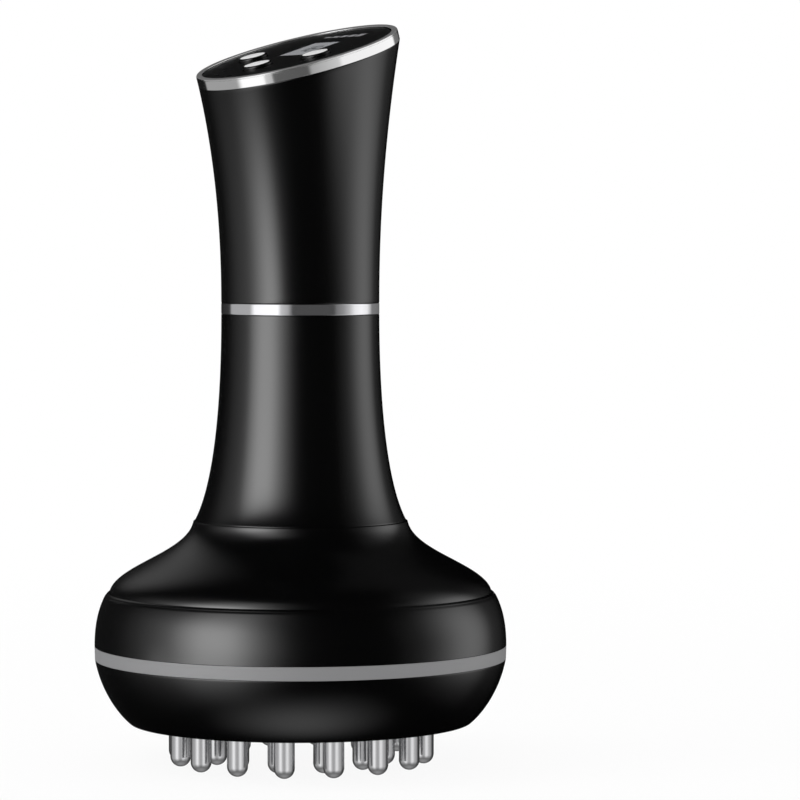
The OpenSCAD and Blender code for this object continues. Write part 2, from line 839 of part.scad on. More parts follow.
module head_top_cover() color([0.08, 0.08, 0.09])
    difference() {
        union() {
            rotate_extrude()
                difference() {
                    filled(concat(cover_curve, [[cover_edge_r, seat_z]]));
                    difference() {
                        filled(concat(
                            inset(cover_curve, shell_wall),
                            [[cover_edge_r - shell_wall, seat_z - cut]]));
                        translate([0, neck_z - flange_t])
                            square([cover_top_r, flange_t + cut]);
                    }
                    translate([0, neck_z - flange_t - cut])
                        square([neck_opening_r, flange_t + 2 * cut]);
                }
            intersection() {
                posts(head_screw_count, upper_post_r, 45, upper_post_z, neck_z);
                rotate_extrude()
                    filled(concat(
                        inset(cover_curve, shell_wall / 2),
                        [[cover_edge_r - shell_wall / 2, upper_post_z]]));
            }
        }
        posts(head_screw_count, head_screw[0] + run_gap, 45, upper_post_z - cut, head_hole_top_z);
        ring_of(neck_screw_count, neck_screw_ring_r, neck_screw_turn)
            translate([0, 0, neck_z - flange_t - cut])
                cylinder(r = neck_screw[0] + fit_gap, h = flange_t + 2 * cut);
    }

module head_upper_shell() color([0.08, 0.08, 0.09])
    rotate_extrude()
        difference() {
            filled(band_curve);
            difference() {
                filled(concat(
                    [[band_top_r - shell_wall, seam_z + cut]],
                    inset(band_curve, shell_wall),
                    [[head_r - shell_wall, band_z - cut]]));
                translate([cover_edge_r - shell_wall - seat_lap, seat_z - seat_t])
                    square([head_d, seat_t + seat_depth]);
            }
            translate([0, seat_z])
                square([cover_edge_r + fit_gap, seat_depth + cut]);
        }

module head_trim_band() color([0.55, 0.55, 0.56])
    rotate_extrude()
        polygon([
            [trim_bore_r, trim_z],
            [trim_foot_r - edge_chamfer, trim_z],
            [trim_foot_r + 0.05, trim_z + edge_chamfer],
            [head_r, band_z - edge_chamfer],
            [head_r - edge_chamfer, band_z],
            [trim_bore_r, band_z]]);

module head_lower_shell() color([0.08, 0.08, 0.09])
    difference() {
        union() {
            rotate_extrude()
                difference() {
                    filled(bowl_curve);
                    difference() {
                        filled(concat(
                            [[trim_foot_r - shell_wall, trim_z + cut]],
                            inset(bowl_curve, shell_wall),
                            [[underside_r - shell_wall, underside_z - cut]]));
                        translate([0, underside_z - cut])
                            square([head_r, plate_t + ledge_t + cut]);
                    }
                    translate([0, underside_z - cut])
                        square([ledge_r, bowl_h + 2 * cut]);
                    translate([0, underside_z - cut])
                        square([plate_r + fit_gap, plate_t + cut]);
                }
            translate([0, 0, trim_z - spigot_root])
                tube(spigot_r, spigot_r - spigot_wall, spigot_root + trim_h + spigot_reach);
            posts(head_screw_count, post_r, 45, plate_top_z, mount_z);
            posts(head_screw_count, 2.6, 0, plate_top_z + ledge_t / 2, plate_top_z + 7);
        }
        posts(head_screw_count, head_pocket_r, 45, plate_top_z - cut, plate_top_z + head_pocket_h);
        posts(head_screw_count, head_screw[0] + fit_gap, 45, plate_top_z, mount_z + cut);
        posts(head_screw_count, plate_screw[0] + run_gap, 0, plate_top_z - cut, plate_top_z + 6);
    }

module head_screws() color([0.7, 0.7, 0.72])
    ring_of(head_screw_count, clamp_ring_r, 45)
        translate([0, 0, plate_top_z + head_pocket_h])
            screw(head_screw, head_screw_l);

// The plate that carries the pins, with the window for the lens and four screws
module comb_plate() color([0.1, 0.1, 0.11])
    difference() {
        union() {
            translate([0, 0, underside_z])
                cylinder(r = plate_r, h = plate_t);
            ring_of(light_screw_count, light_post_ring_r, 30)
                translate([0, 0, plate_top_z - cut])
                    cylinder(r = light_post_r, h = light_gap + cut);
        }
        ring_of(outer_pin_count, outer_pin_ring_r)
            translate([0, 0, underside_z - cut])
                cylinder(r = shank_r + run_gap, h = plate_t + 2 * cut);
        ring_of(inner_pin_count, inner_pin_ring_r, inner_pin_turn)
            translate([0, 0, underside_z - cut])
                cylinder(r = shank_r + run_gap, h = plate_t + 2 * cut);
        translate([0, 0, underside_z - cut])
            cylinder(r = lens_r + fit_gap, h = plate_t + 2 * cut);
        translate([0, 0, underside_z + lens_face_t])
            cylinder(r = lens_r + lens_flange_w + fit_gap, h = plate_t);
        posts(head_screw_count, plate_screw[1] + fit_gap, 0, underside_z - cut, plate_screw_z);
        posts(head_screw_count, plate_screw[0] + fit_gap, 0, underside_z, plate_top_z + cut);
        ring_of(light_screw_count, light_post_ring_r, 30)
            translate([0, 0, light_board_z - 4])
                cylinder(r = small_screw[0] + run_gap, h = 4 + cut);
    }

module comb_plate_screws() color([0.7, 0.7, 0.72])
    ring_of(head_screw_count, clamp_ring_r)
        translate([0, 0, plate_screw_z])
            screw(plate_screw, plate_t + 3);

// A round-nosed pin whose shank goes through the plate and is riveted over the contact ring
module pin() {
    translate([0, 0, pin_r])
        sphere(r = pin_r);
    translate([0, 0, pin_r])
        cylinder(r = pin_r, h = pin_reach - pin_r);
    translate([0, 0, pin_r])
        cylinder(r = shank_r, h = plate_top_z + contact_t + rivet_h / 2 - pin_r);
    translate([0, 0, plate_top_z + contact_t])
        cylinder(r1 = rivet_r, r2 = rivet_r - 0.5, h = rivet_h);
}

module outer_pins() color([0.75, 0.75, 0.76])
    ring_of(outer_pin_count, outer_pin_ring_r)
        pin();

module inner_pins() color([0.75, 0.75, 0.76])
    ring_of(inner_pin_count, inner_pin_ring_r, inner_pin_turn)
        pin();

// A flat metal ring that feeds the current to one ring of pins
module contact_ring(count, radius, turn) color([0.8, 0.65, 0.3])
    difference() {
        translate([0, 0, plate_top_z])
            tube(radius + contact_w / 2, radius - contact_w / 2, contact_t);
        ring_of(count, radius, turn)
            translate([0, 0, plate_top_z - cut])
                cylinder(r = shank_r + run_gap, h = contact_t + 2 * cut);
    }

module outer_contact_ring() contact_ring(outer_pin_count, outer_pin_ring_r, 0);
module inner_contact_ring() contact_ring(inner_pin_count, inner_pin_ring_r, inner_pin_turn);

module light_lens() color([0.7, 0.1, 0.1])
    union() {
        translate([0, 0, underside_z])
            cylinder(r = lens_r, h = lens_face_t + lens_flange_t / 2);
        translate([0, 0, underside_z + lens_face_t])
            cylinder(r = lens_r + lens_flange_w, h = lens_flange_t);
    }

module light_board() color([0.1, 0.35, 0.2])
    difference() {
        translate([0, 0, light_board_z])
            union() {
                cylinder(r = light_board_r, h = light_board_t);
                board_arm(outer_spring_turn, outer_pin_ring_r);
                board_arm(inner_spring_turn, inner_pin_ring_r);
            }
        ring_of(light_screw_count, light_post_ring_r, 30)
            translate([0, 0, light_board_z - cut])
                cylinder(r = small_screw[0] + run_gap, h = light_board_t + 2 * cut);
    }

module board_arm(turn, reach) {
    rotate(turn)
        translate([0, -board_arm_w / 2, 0])
            cube([reach + board_arm_w / 2, board_arm_w, light_board_t]);
}

// Two sprung contacts that press from the arms of the light board on the contact rings
module contact_springs() color([0.85, 0.7, 0.35]) {
    contact_spring(outer_spring_turn, outer_pin_ring_r);
    contact_spring(inner_spring_turn, inner_pin_ring_r);
}

module contact_spring(turn, reach) {
    rotate(turn)
        translate([reach, 0, plate_top_z + contact_t])
            cylinder(r = spring_r, h = light_gap - contact_t);
}

module light_board_screws() color([0.7, 0.7, 0.72])
    ring_of(light_screw_count, light_post_ring_r, 30)
        translate([0, 0, light_board_z + light_board_t])
            rotate([180, 0, 0])
                screw([small_screw[0], 1.5, 1], light_board_t + 3);

module light_emitters() color([0.85, 0.2, 0.2])
    ring_of(led_count, led_ring_r)
        translate([0, 0, light_board_z - led_h]) {
            cylinder(r = led_r, h = led_h);
            sphere(r = led_h);
        }

module light_plug() color([0.9, 0.88, 0.8])
    translate([
        light_plug_x - light_plug_size[0] / 2,
        -light_plug_size[1] / 2,
        light_plug_z])
        cube(light_plug_size);

// Motor

// The plate that the head screws clamp, with the cup that holds the motor upright
module motor_mount() color([0.3, 0.3, 0.32])
    difference() {
        union() {
            translate([0, 0, mount_z])
                cylinder(r = clamp_ring_r + upper_post_r, h = mount_t);
            translate([0, 0, mount_z])
                cylinder(r = cup_bore_r + cup_wall, h = mount_t + cup_h);
        }
        translate([0, 0, motor_z])
            cylinder(r = cup_bore_r, h = cup_h + cut);
        translate([0, 0, mount_z - cut])
            cylinder(r = nose_hole_r, h = mount_t + 2 * cut);
        posts(head_screw_count, head_screw[0] + fit_gap, 45, mount_z - cut, upper_post_z + cut);
        ring_of(4, cup_bore_r + cup_wall + 9.5)
            translate([0, 0, mount_z - cut])
                cylinder(r = 7.5, h = mount_t + 2 * cut);
    }

module motor_sleeve() color([0.15, 0.15, 0.15])
    translate([0, 0, motor_z])
        tube(cup_bore_r - run_gap, motor_r + run_gap, cup_h);

module motor_can() color([0.75, 0.75, 0.77])
    difference() {
        union() {
            translate([0, 0, motor_z])
                cylinder(r = motor_r, h = motor_l);
            translate([0, 0, motor_z - nose_h])
                cylinder(r = nose_r, h = nose_h + can_wall);
        }
        translate([0, 0, motor_z + can_wall])
            cylinder(r = motor_r - can_wall, h = motor_l);
        translate([0, 0, motor_z - nose_h - cut])
            cylinder(r = shaft_r + run_gap, h = motor_l);
    }

module motor_end_cap() color([0.12, 0.12, 0.12])
    difference() {
        translate([0, 0, motor_z + motor_l])
            cylinder(r = motor_r - 0.5, h = end_cap_t);
        translate([0, 0, motor_z + motor_l - cut])
            cylinder(r = shaft_r + run_gap, h = cut + 1);
    }

module motor_magnets() color([0.35, 0.35, 0.36])
    difference() {
        translate([0, 0, rotor_z - magnet_over])
            tube(motor_r - can_wall - run_gap / 2, motor_r - can_wall - magnet_t, rotor_h + 2 * magnet_over);
        for (side = [0, 180])
            rotate(side)
                translate([0, -magnet_split / 2, rotor_z - magnet_over - cut])
                    cube([motor_r, magnet_split, rotor_h + 2 * (magnet_over + cut)]);
    }

module motor_plug() color([0.9, 0.88, 0.8])
    translate([-motor_plug_size[0] / 2, -motor_plug_size[1] / 2, motor_plug_z])
        cube(motor_plug_size);

module motor_shaft() color([0.8, 0.8, 0.82])
    translate([0, 0, shaft_foot_z])
        cylinder(r = shaft_r, h = shaft_top_z + 0.6 - shaft_foot_z);

module rotor_core() color([0.6, 0.4, 0.25])
    translate([0, 0, rotor_z])
        difference() {
            union() {
                tube(rotor_r, shaft_r + 0.02, rotor_h);
                translate([0, 0, rotor_h])
                    tube(3, shaft_r + 0.02, 3);
            }
            ring_of(3, rotor_r)
                translate([-3.4, -0.6, -cut])
                    cube([4, 1.2, rotor_h + cut]);
        }

// A half disc on a hub, which throws the motor off balance
module eccentric_weight() color([0.72, 0.66, 0.45])
    difference() {
        translate([0, 0, weight_z])
            union() {
                cylinder(r = hub_r, h = weight_h);
                difference() {
                    cylinder(r = weight_r, h = weight_h);
                    translate([-weight_r - cut, 0, -cut])
                        cube([2 * (weight_r + cut), weight_r + cut, weight_h + 2 * cut]);
                }
            }
        translate([0, 0, weight_z - cut])
            cylinder(r = shaft_r + 0.02, h = weight_h + 2 * cut);
    }

// Cables

// A round cable through the points of a route: its corners are cut to smooth it, and each
// ring of points is carried on from the last one, so that the tube never twists
function smooth(p) = let (last = len(p) - 1)
    concat([p[0]],
        [for (i = [0:last - 1]) each [p[i] * 0.75 + p[i + 1] * 0.25, p[i] * 0.25 + p[i + 1] * 0.75]],
        [p[last]]);

function unit(v) = v / norm(v);

function heading(p, i) = let (last = len(p) - 1)
    unit(p[min(i + 1, last)] - p[max(i - 1, 0)]);

function side_steps(p, i, side) = let (
        h = heading(p, i),
        s = unit(side - h * (side * h)))
    i == len(p) - 1 ? [s] : concat([s], side_steps(p, i + 1, s));

module cable(route) {
    path = smooth(route);
    sides = side_steps(path, 0, [1, 0, 0]);
    n = cable_sides;
    last = len(path) - 1;
    points = [for (i = [0:last], k = [0:n - 1])
        let (s = sides[i], u = cross(heading(path, i), s), turn = 360 * k / n)
        path[i] + cable_d / 2 * (cos(turn) * s + sin(turn) * u)];
    walls = [for (i = [0:last - 1], k = [0:n - 1])
        let (a = i * n + k, b = i * n + (k + 1) % n)
        each [[a, a + n, b], [b, a + n, b + n]]];
    polyhedron(points, concat(
        walls,
        [[for (k = [0:n - 1]) k]],
        [[for (k = [0:n - 1]) last * n + n - 1 - k]]));
}

module motor_cable() color([0.6, 0.1, 0.1]) cable(motor_cable_route);
module light_cable() color([0.15, 0.15, 0.15]) cable(light_cable_route);
module power_cable() color([0.8, 0.6, 0.1]) cable(power_cable_route);

panel_bezel();
control_panel();
display_lens();
display_module();
left_button();
low_button();
right_button();
left_plunger();
low_plunger();
right_plunger();
switch_bodies();
control_board();
board_chips();
board_plugs();
board_screws();
upper_handle_shell();
battery_cell();
battery_contacts();
battery_cradle();
cradle_screws();
charging_board();
charging_socket();
socket_tongue();
charging_board_screws();
charging_board_plug();
handle_ring();
lower_handle_shell();
neck_screws();
head_top_cover();
head_upper_shell();
head_trim_band();
head_lower_shell();
comb_plate();
comb_plate_screws();
outer_pins();
inner_pins();
outer_contact_ring();
inner_contact_ring();
light_lens();
light_board();
light_board_screws();
light_emitters();
light_plug();
contact_springs();
motor_mount();
head_screws();
motor_sleeve();
motor_can();
motor_end_cap();
motor_magnets();
motor_plug();
motor_shaft();
rotor_core();
eccentric_weight();
motor_cable();
light_cable();
power_cable();
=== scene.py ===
# Handheld body massager on a pale floor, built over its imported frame, from the pins up.

import json
from math import cos, pi, radians, sin

import bpy
from mathutils import Matrix, Vector

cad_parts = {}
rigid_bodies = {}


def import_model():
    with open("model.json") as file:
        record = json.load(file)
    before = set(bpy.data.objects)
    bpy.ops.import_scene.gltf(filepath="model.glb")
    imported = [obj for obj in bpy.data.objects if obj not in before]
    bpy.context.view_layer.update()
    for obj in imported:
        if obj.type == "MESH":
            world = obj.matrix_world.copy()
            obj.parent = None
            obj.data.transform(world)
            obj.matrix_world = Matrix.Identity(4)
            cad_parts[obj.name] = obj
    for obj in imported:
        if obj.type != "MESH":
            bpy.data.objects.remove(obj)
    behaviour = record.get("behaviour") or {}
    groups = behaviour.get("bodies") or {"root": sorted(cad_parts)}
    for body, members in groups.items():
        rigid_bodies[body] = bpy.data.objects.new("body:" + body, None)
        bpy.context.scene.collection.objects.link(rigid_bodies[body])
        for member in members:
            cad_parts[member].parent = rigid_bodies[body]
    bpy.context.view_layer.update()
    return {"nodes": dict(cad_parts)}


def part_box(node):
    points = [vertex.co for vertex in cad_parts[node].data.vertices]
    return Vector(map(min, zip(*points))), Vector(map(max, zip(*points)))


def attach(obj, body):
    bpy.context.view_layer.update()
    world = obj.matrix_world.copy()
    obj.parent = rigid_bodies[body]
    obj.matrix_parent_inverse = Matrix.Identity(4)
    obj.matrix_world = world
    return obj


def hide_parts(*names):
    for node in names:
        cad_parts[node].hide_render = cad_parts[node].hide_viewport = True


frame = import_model()

# Camera
# It stands to the front right of the panel's low side, a little above the head, and looks
# slightly down. The massager stands left of the middle of the picture.
mm = 0.001
camera_azimuth = radians(52.5)
camera_distance = 950 * mm
camera_height = 130.6 * mm
camera_lens = 176.4
aim_right = 24.15 * mm
aim_height = 88.1 * mm
to_camera = Vector((sin(camera_azimuth), -cos(camera_azimuth), 0))
to_right = Vector((cos(camera_azimuth), sin(camera_azimuth), 0))
camera_place = camera_distance * to_camera + Vector((0, 0, camera_height))
aim = aim_right * to_right + Vector((0, 0, aim_height))
bpy.ops.object.camera_add(
    location=camera_place,
    rotation=(aim - camera_place).to_track_quat("-Z", "Y").to_euler())
camera = bpy.context.object
camera.data.sensor_width = 36
camera.data.lens = camera_lens
bpy.context.scene.camera = camera
bpy.context.scene.view_settings.view_transform = "Standard"

# Background and light
# A white studio. Its plain even light comes from all round, and one large soft lamp above
# the left shoulder gives the shadow.
ambient = 0.78
lamp_place = Vector((-0.35, -0.75, 1.1))
lamp_target = Vector((0, 0, 0.08))


def reckon(operation, *values):
    """One step of arithmetic on sockets and plain numbers"""
    step = nodes.new("ShaderNodeMath")
    step.operation = operation
    for value, socket in zip(values, step.inputs):
        if isinstance(value, (int, float)):
            socket.default_value = value
        else:
            links.new(value, socket)
    return step.outputs[0]


world = bpy.context.scene.world or bpy.data.worlds.new("studio")
bpy.context.scene.world = world
world.use_nodes = True
nodes, links = world.node_tree.nodes, world.node_tree.links
nodes.clear()
rays = nodes.new("ShaderNodeLightPath")
camera_or_glossy = reckon("MAXIMUM", rays.outputs["Is Camera Ray"], rays.outputs["Is Glossy Ray"])
seen = reckon("MAXIMUM", camera_or_glossy, rays.outputs["Is Transmission Ray"])
light_level = nodes.new("ShaderNodeMapRange")
light_level.inputs["To Min"].default_value = ambient
light_level.inputs["To Max"].default_value = 1
links.new(seen, light_level.inputs["Value"])
sky = nodes.new("ShaderNodeBackground")
sky.inputs["Color"].default_value = (1, 1, 1, 1)
links.new(light_level.outputs["Result"], sky.inputs["Strength"])
links.new(sky.outputs[0], nodes.new("ShaderNodeOutputWorld").inputs["Surface"])

bpy.ops.object.light_add(
    type="AREA",
    location=lamp_place,
    rotation=(lamp_target - lamp_place).to_track_quat("-Z", "Y").to_euler())
lamp = bpy.context.object
lamp.data.shape = "DISK"
lamp.data.size = 0.7
lamp.data.energy = 4.5
lamp.visible_glossy = False

# Floor
# A round pale sheet that keeps the shadow and fades into the white background at its rim.
# It is seen from above only, so that the pins can be looked at from below.
floor_radius = 0.62
fade_start = 0.12
fade_end = 0.97 * floor_radius
least_clear = 0.93
paper_white = 0.93
bpy.ops.mesh.primitive_circle_add(vertices=96, radius=floor_radius, fill_type="NGON")
floor = bpy.context.object
floor.name = "floor"
floor_finish = bpy.data.materials.new("pale_floor")
floor_finish.use_nodes = True
nodes, links = floor_finish.node_tree.nodes, floor_finish.node_tree.links
nodes.clear()
place = nodes.new("ShaderNodeTexCoord")
length = nodes.new("ShaderNodeVectorMath")
length.operation = "LENGTH"
links.new(place.outputs["Object"], length.inputs[0])
fade = nodes.new("ShaderNodeMapRange")
fade.interpolation_type = "SMOOTHSTEP"
fade.inputs["From Min"].default_value = fade_start
fade.inputs["From Max"].default_value = fade_end
fade.inputs["To Min"].default_value = least_clear
fade.inputs["To Max"].default_value = 1
links.new(length.outputs["Value"], fade.inputs["Value"])
side = nodes.new("ShaderNodeNewGeometry")
clear_share = reckon("MAXIMUM", fade.outputs["Result"], side.outputs["Backfacing"])
paper = nodes.new("ShaderNodeBsdfDiffuse")
paper.inputs["Color"].default_value = (paper_white, paper_white, paper_white, 1)
clear = nodes.new("ShaderNodeBsdfTransparent")
mixed = nodes.new("ShaderNodeMixShader")
links.new(clear_share, mixed.inputs["Fac"])
links.new(paper.outputs[0], mixed.inputs[1])
links.new(clear.outputs[0], mixed.inputs[2])
links.new(mixed.outputs[0], nodes.new("ShaderNodeOutputMaterial").inputs["Surface"])
floor.data.materials.append(floor_finish)
floor.visible_glossy = False
floor.visible_diffuse = False
floor.visible_shadow = False

# Dark tents with openings
# Glossy black and bright metal show what stands round them. Here that is dark cloth with a wide
# opening on the left and a softer one on the right. The upper and the lower handle, the head,
# the ring, the bezel and the pins are lit one by one, so each has a tent that only it reflects.
tent_radius = 2.6
tent_step = 0.1
dark_cloth = 0.002
# Openings: degrees to the right of the camera's direction, and brightness there.
# Belts: the share of it that is left at each height, from straight down at -1 to straight up at 1.
# Leans: how many degrees to the left the openings stand at each height.
# Pools: degrees to the right, degrees up, reach and brightness of soft round patches.
handle_openings = [
    (-180, 0.01), (-128, 0.02), (-113, 0.13), (-99, 0.42), (-85, 0.75), (-75, 1.05), (-65, 2.1),
    (-52, 4.7), (-43, 6.7), (-35, 6.7), (-26, 3.8), (-20, 0.6), (-9, 0.06), (-3, 0.01), (51, 0.01),
    (61, 0.14), (69, 0.4), (75, 0.65), (87, 1.35), (99, 2.05), (111, 1.9), (122, 1.05), (131, 0.5),
    (137, 0.12), (163, 0.0), (180, 0.0)]
neck_openings = [
    (-180, 0.01), (-135, 0.01), (-120, 0.06), (-106, 0.3), (-92, 0.58), (-80, 1.0), (-73, 3.2),
    (-58, 6.8), (-42, 6.8), (-33, 4.4), (-27, 2.8), (-19, 1.3), (-10, 0.3), (-3, 0.04), (3, 0.01),
    (50, 0.02), (58, 0.12), (70, 0.32), (80, 0.8), (88, 1.4), (96, 1.85), (106, 1.8), (116, 1.2),
    (124, 0.5), (130, 0.1), (156, 0.0), (180, 0.0)]
head_openings = [
    (-180, 0.01), (-127, 0.02), (-112, 0.06), (-98, 0.28), (-84, 0.75), (-72, 1.5), (-65, 3.2),
    (-50, 6.8), (-34, 6.8), (-25, 4.3), (-19, 2.5), (-11, 1.1), (-2, 0.2), (5, 0.02), (11, 0.01),
    (58, 0.01), (66, 0.1), (78, 0.25), (88, 0.75), (96, 1.3), (104, 1.8), (114, 1.8), (124, 1.2),
    (132, 0.5), (138, 0.1), (164, 0.0), (180, 0.0)]
ring_openings = [
    (-180, 0.01), (-132, 0.04), (-124, 0.06), (-119, 0.44), (-78, 0.46), (-70, 1.2), (-33, 1.3),
    (-28, 0.64), (-18, 0.45), (-11, 0.08), (50, 0.08), (54, 0.2), (66, 0.33), (76, 0.56),
    (86, 0.98), (100, 1.15), (114, 1.0), (128, 0.24), (162, 0.16), (180, 0.1)]
bezel_openings = [
    (-180, 0.01), (-137, 0.01), (-134, 0.4), (-78, 0.4), (-71, 1.25), (-41, 1.25), (-39, 0.7),
    (-31, 0.6), (-29, 0.13), (12, 0.11), (15, 0.42), (46, 0.7), (50, 1.05), (136, 1.15),
    (140, 0.2), (160, 0.15), (163, 0.01), (180, 0.01)]
pin_openings = [
    (-180, 0.04), (-140, 0.04), (-118, 0.12), (-104, 0.5), (-75, 0.56), (-60, 0.8), (-46, 1.35),
    (-34, 1.35), (-20, 0.7), (-4, 0.52), (8, 0.55), (22, 1.05), (32, 1.3), (42, 1.1), (60, 0.66),
    (88, 0.5), (102, 0.14), (120, 0.04), (180, 0.04)]
handle_left_belt = [
    (-0.75, 0.01), (-0.45, 0.03), (-0.35, 0.07), (-0.27, 0.14), (-0.22, 0.26), (-0.12, 0.58),
    (-0.03, 0.88), (0.06, 1), (0.35, 1), (0.6, 0.42), (0.78, 0.18), (0.88, 0)]
neck_left_belt = [
    (-0.75, 0), (-0.44, 0.2), (-0.18, 0.75), (-0.04, 0.86), (0.1, 0.93), (0.38, 1), (0.45, 0.85),
    (0.52, 0.45), (0.57, 0.12), (0.6, 0)]
head_left_belt = [
    (-0.75, 0), (-0.6, 0.08), (-0.44, 0.2), (-0.33, 0.4), (-0.18, 0.78), (-0.02, 0.84), (0.12, 1),
    (0.35, 1), (0.6, 0.42), (0.78, 0.18), (0.88, 0)]
handle_right_belt = [(-0.75, 0), (-0.6, 1), (0.2, 1), (0.5, 0.5), (0.7, 0.15), (0.88, 0)]
head_right_belt = [
    (-0.62, 0), (-0.5, 0.06), (-0.38, 0.2), (-0.12, 1), (0.25, 1.04), (0.42, 0.82), (0.52, 0.5),
    (0.7, 0.15), (0.88, 0)]
metal_belt = [(-0.9, 1), (0.7, 1), (0.9, 0)]
pin_belt = [(-0.8, 0), (-0.35, 1), (0.3, 1), (0.6, 0)]
handle_lean = [(-0.3, 24), (0.06, 2), (0.3, 0)]
head_lean = [(-0.2, 8), (-0.05, 6), (0.1, 5.5), (0.3, 7), (0.5, 7), (0.7, 2), (0.9, 0)]
# No lean to speak of, but more than 0 at one end, because a ramp is divided by its highest level
upright = [(-1, 0), (1, 0.001)]
tent_plans = {
    "handle": (handle_openings, handle_left_belt, handle_right_belt, handle_lean,
               [(54, -30, 0.5, 1)]),
    "neck": (neck_openings, neck_left_belt, head_right_belt, upright, []),
    "head": (head_openings, head_left_belt, head_right_belt, head_lean,
             [(-24, -67, 0.58, 0.7), (24, -67, 0.58, 0.7), (-84, -8, 0.25, 0.9),
              (-156, 33, 0.42, 0.35), (152, 54, 0.5, 0.045)]),
    "ring": (ring_openings, metal_belt, metal_belt, upright, []),
    "bezel": (bezel_openings, metal_belt, metal_belt, upright, []),
    "pin": (pin_openings, pin_belt, pin_belt, upright, [(0, -90, 1.3, 0.4)])}


def ramp(stops, low, high, share):
    """Brightness at places from low to high, in straight runs from stop to stop"""
    most = max(level for at, level in stops)
    made = nodes.new("ShaderNodeValToRGB")
    band = made.color_ramp
    while len(band.elements) > 1:
        band.elements.remove(band.elements[-1])
    for number, (at, level) in enumerate(stops):
        spot = (at - low) / (high - low)
        stop = band.elements[0] if number == 0 else band.elements.new(spot)
        stop.position = spot
        stop.color = (level / most, level / most, level / most, 1)
    links.new(share, made.inputs["Fac"])
    return reckon("MULTIPLY", made.outputs["Color"], most)


def pool(direction, turn_degrees, height_degrees, reach, level):
    """A soft round patch of light round one direction"""
    turn, height = radians(turn_degrees), radians(height_degrees)
    apart_by = nodes.new("ShaderNodeVectorMath")
    apart_by.operation = "DISTANCE"
    apart_by.inputs[1].default_value = (sin(turn) * cos(height), -cos(turn) * cos(height), sin(height))
    links.new(direction, apart_by.inputs[0])
    patch = nodes.new("ShaderNodeMapRange")
    patch.interpolation_type = "SMOOTHSTEP"
    patch.inputs["From Max"].default_value = reach
    patch.inputs["To Min"].default_value = level
    patch.inputs["To Max"].default_value = 0
    links.new(apart_by.outputs["Value"], patch.inputs["Value"])
    return patch.outputs["Result"]


bpy.context.scene.cycles.min_transparent_bounces = len(tent_plans)
tents = {}
for name, (openings, left_belt, right_belt, lean_stops, pools) in tent_plans.items():
    bpy.ops.mesh.primitive_uv_sphere_add(
        segments=64, ring_count=32, radius=tent_radius + tent_step * len(tents))
    tent = bpy.context.object
    tent.name = f"{name}_tent"
    cloth = bpy.data.materials.new(f"{name}_tent_cloth")
    cloth.use_nodes = True
    cloth.cycles.emission_sampling = "NONE"
    nodes, links = cloth.node_tree.nodes, cloth.node_tree.links
    nodes.clear()
    place = nodes.new("ShaderNodeTexCoord")
    facing = nodes.new("ShaderNodeMapping")
    facing.inputs["Rotation"].default_value = (0, 0, -camera_azimuth)
    links.new(place.outputs["Object"], facing.inputs["Vector"])
    outward = nodes.new("ShaderNodeVectorMath")
    outward.operation = "NORMALIZE"
    links.new(facing.outputs["Vector"], outward.inputs[0])
    direction = outward.outputs["Vector"]
    apart = nodes.new("ShaderNodeSeparateXYZ")
    links.new(direction, apart.inputs["Vector"])
    right, back, up = apart.outputs
    up_share = reckon("MULTIPLY_ADD", up, 0.5, 0.5)
    turn = reckon("ARCTAN2", right, reckon("MULTIPLY", back, -1))
    turn_share = reckon("MULTIPLY_ADD", turn, 0.5 / pi, 0.5)
    turn_share = reckon("MULTIPLY_ADD", ramp(lean_stops, -1, 1, up_share), 1 / 360, turn_share)
    on_the_right = reckon("GREATER_THAN", right, 0)
    belt = reckon(
        "ADD",
        reckon("MULTIPLY", ramp(left_belt, -1, 1, up_share), reckon("SUBTRACT", 1, on_the_right)),
        reckon("MULTIPLY", ramp(right_belt, -1, 1, up_share), on_the_right))
    total = reckon("MULTIPLY_ADD", ramp(openings, -180, 180, turn_share), belt, dark_cloth)
    for patch in pools:
        total = reckon("ADD", total, pool(direction, *patch))
    glow = nodes.new("ShaderNodeEmission")
    links.new(total, glow.inputs["Strength"])
    surface = glow.outputs[0]
    if len(tents) + 1 < len(tent_plans):
        # All but the outermost tent are seen through
        sheer = nodes.new("ShaderNodeAddShader")
        links.new(surface, sheer.inputs[0])
        links.new(nodes.new("ShaderNodeBsdfTransparent").outputs[0], sheer.inputs[1])
        surface = sheer.outputs[0]
    links.new(surface, nodes.new("ShaderNodeOutputMaterial").inputs["Surface"])
    tent.data.materials.append(cloth)
    tent.visible_camera = False
    tent.visible_diffuse = False
    tent.visible_transmission = False
    tent.visible_shadow = False
    tent.visible_volume_scatter = False
    tent.light_linking.receiver_collection = bpy.data.collections.new(f"{name}_pieces")
    tents[name] = tent


# Massage pins
# Turned stainless steel pins with round noses. Each shank goes through the comb plate and is
# riveted over a contact ring. One is turned, and copies of it are set round the axis.
def finish(name, colour, roughness, metallic=0.0):
    """A plain finish, to which grain and wear are added"""
    made = bpy.data.materials.new(name)
    made.use_nodes = True
    shader = made.node_tree.nodes["Principled BSDF"]
    shader.inputs["Base Color"].default_value = (*colour, 1)
    shader.inputs["Roughness"].default_value = roughness
    shader.inputs["Metallic"].default_value = metallic
    return made


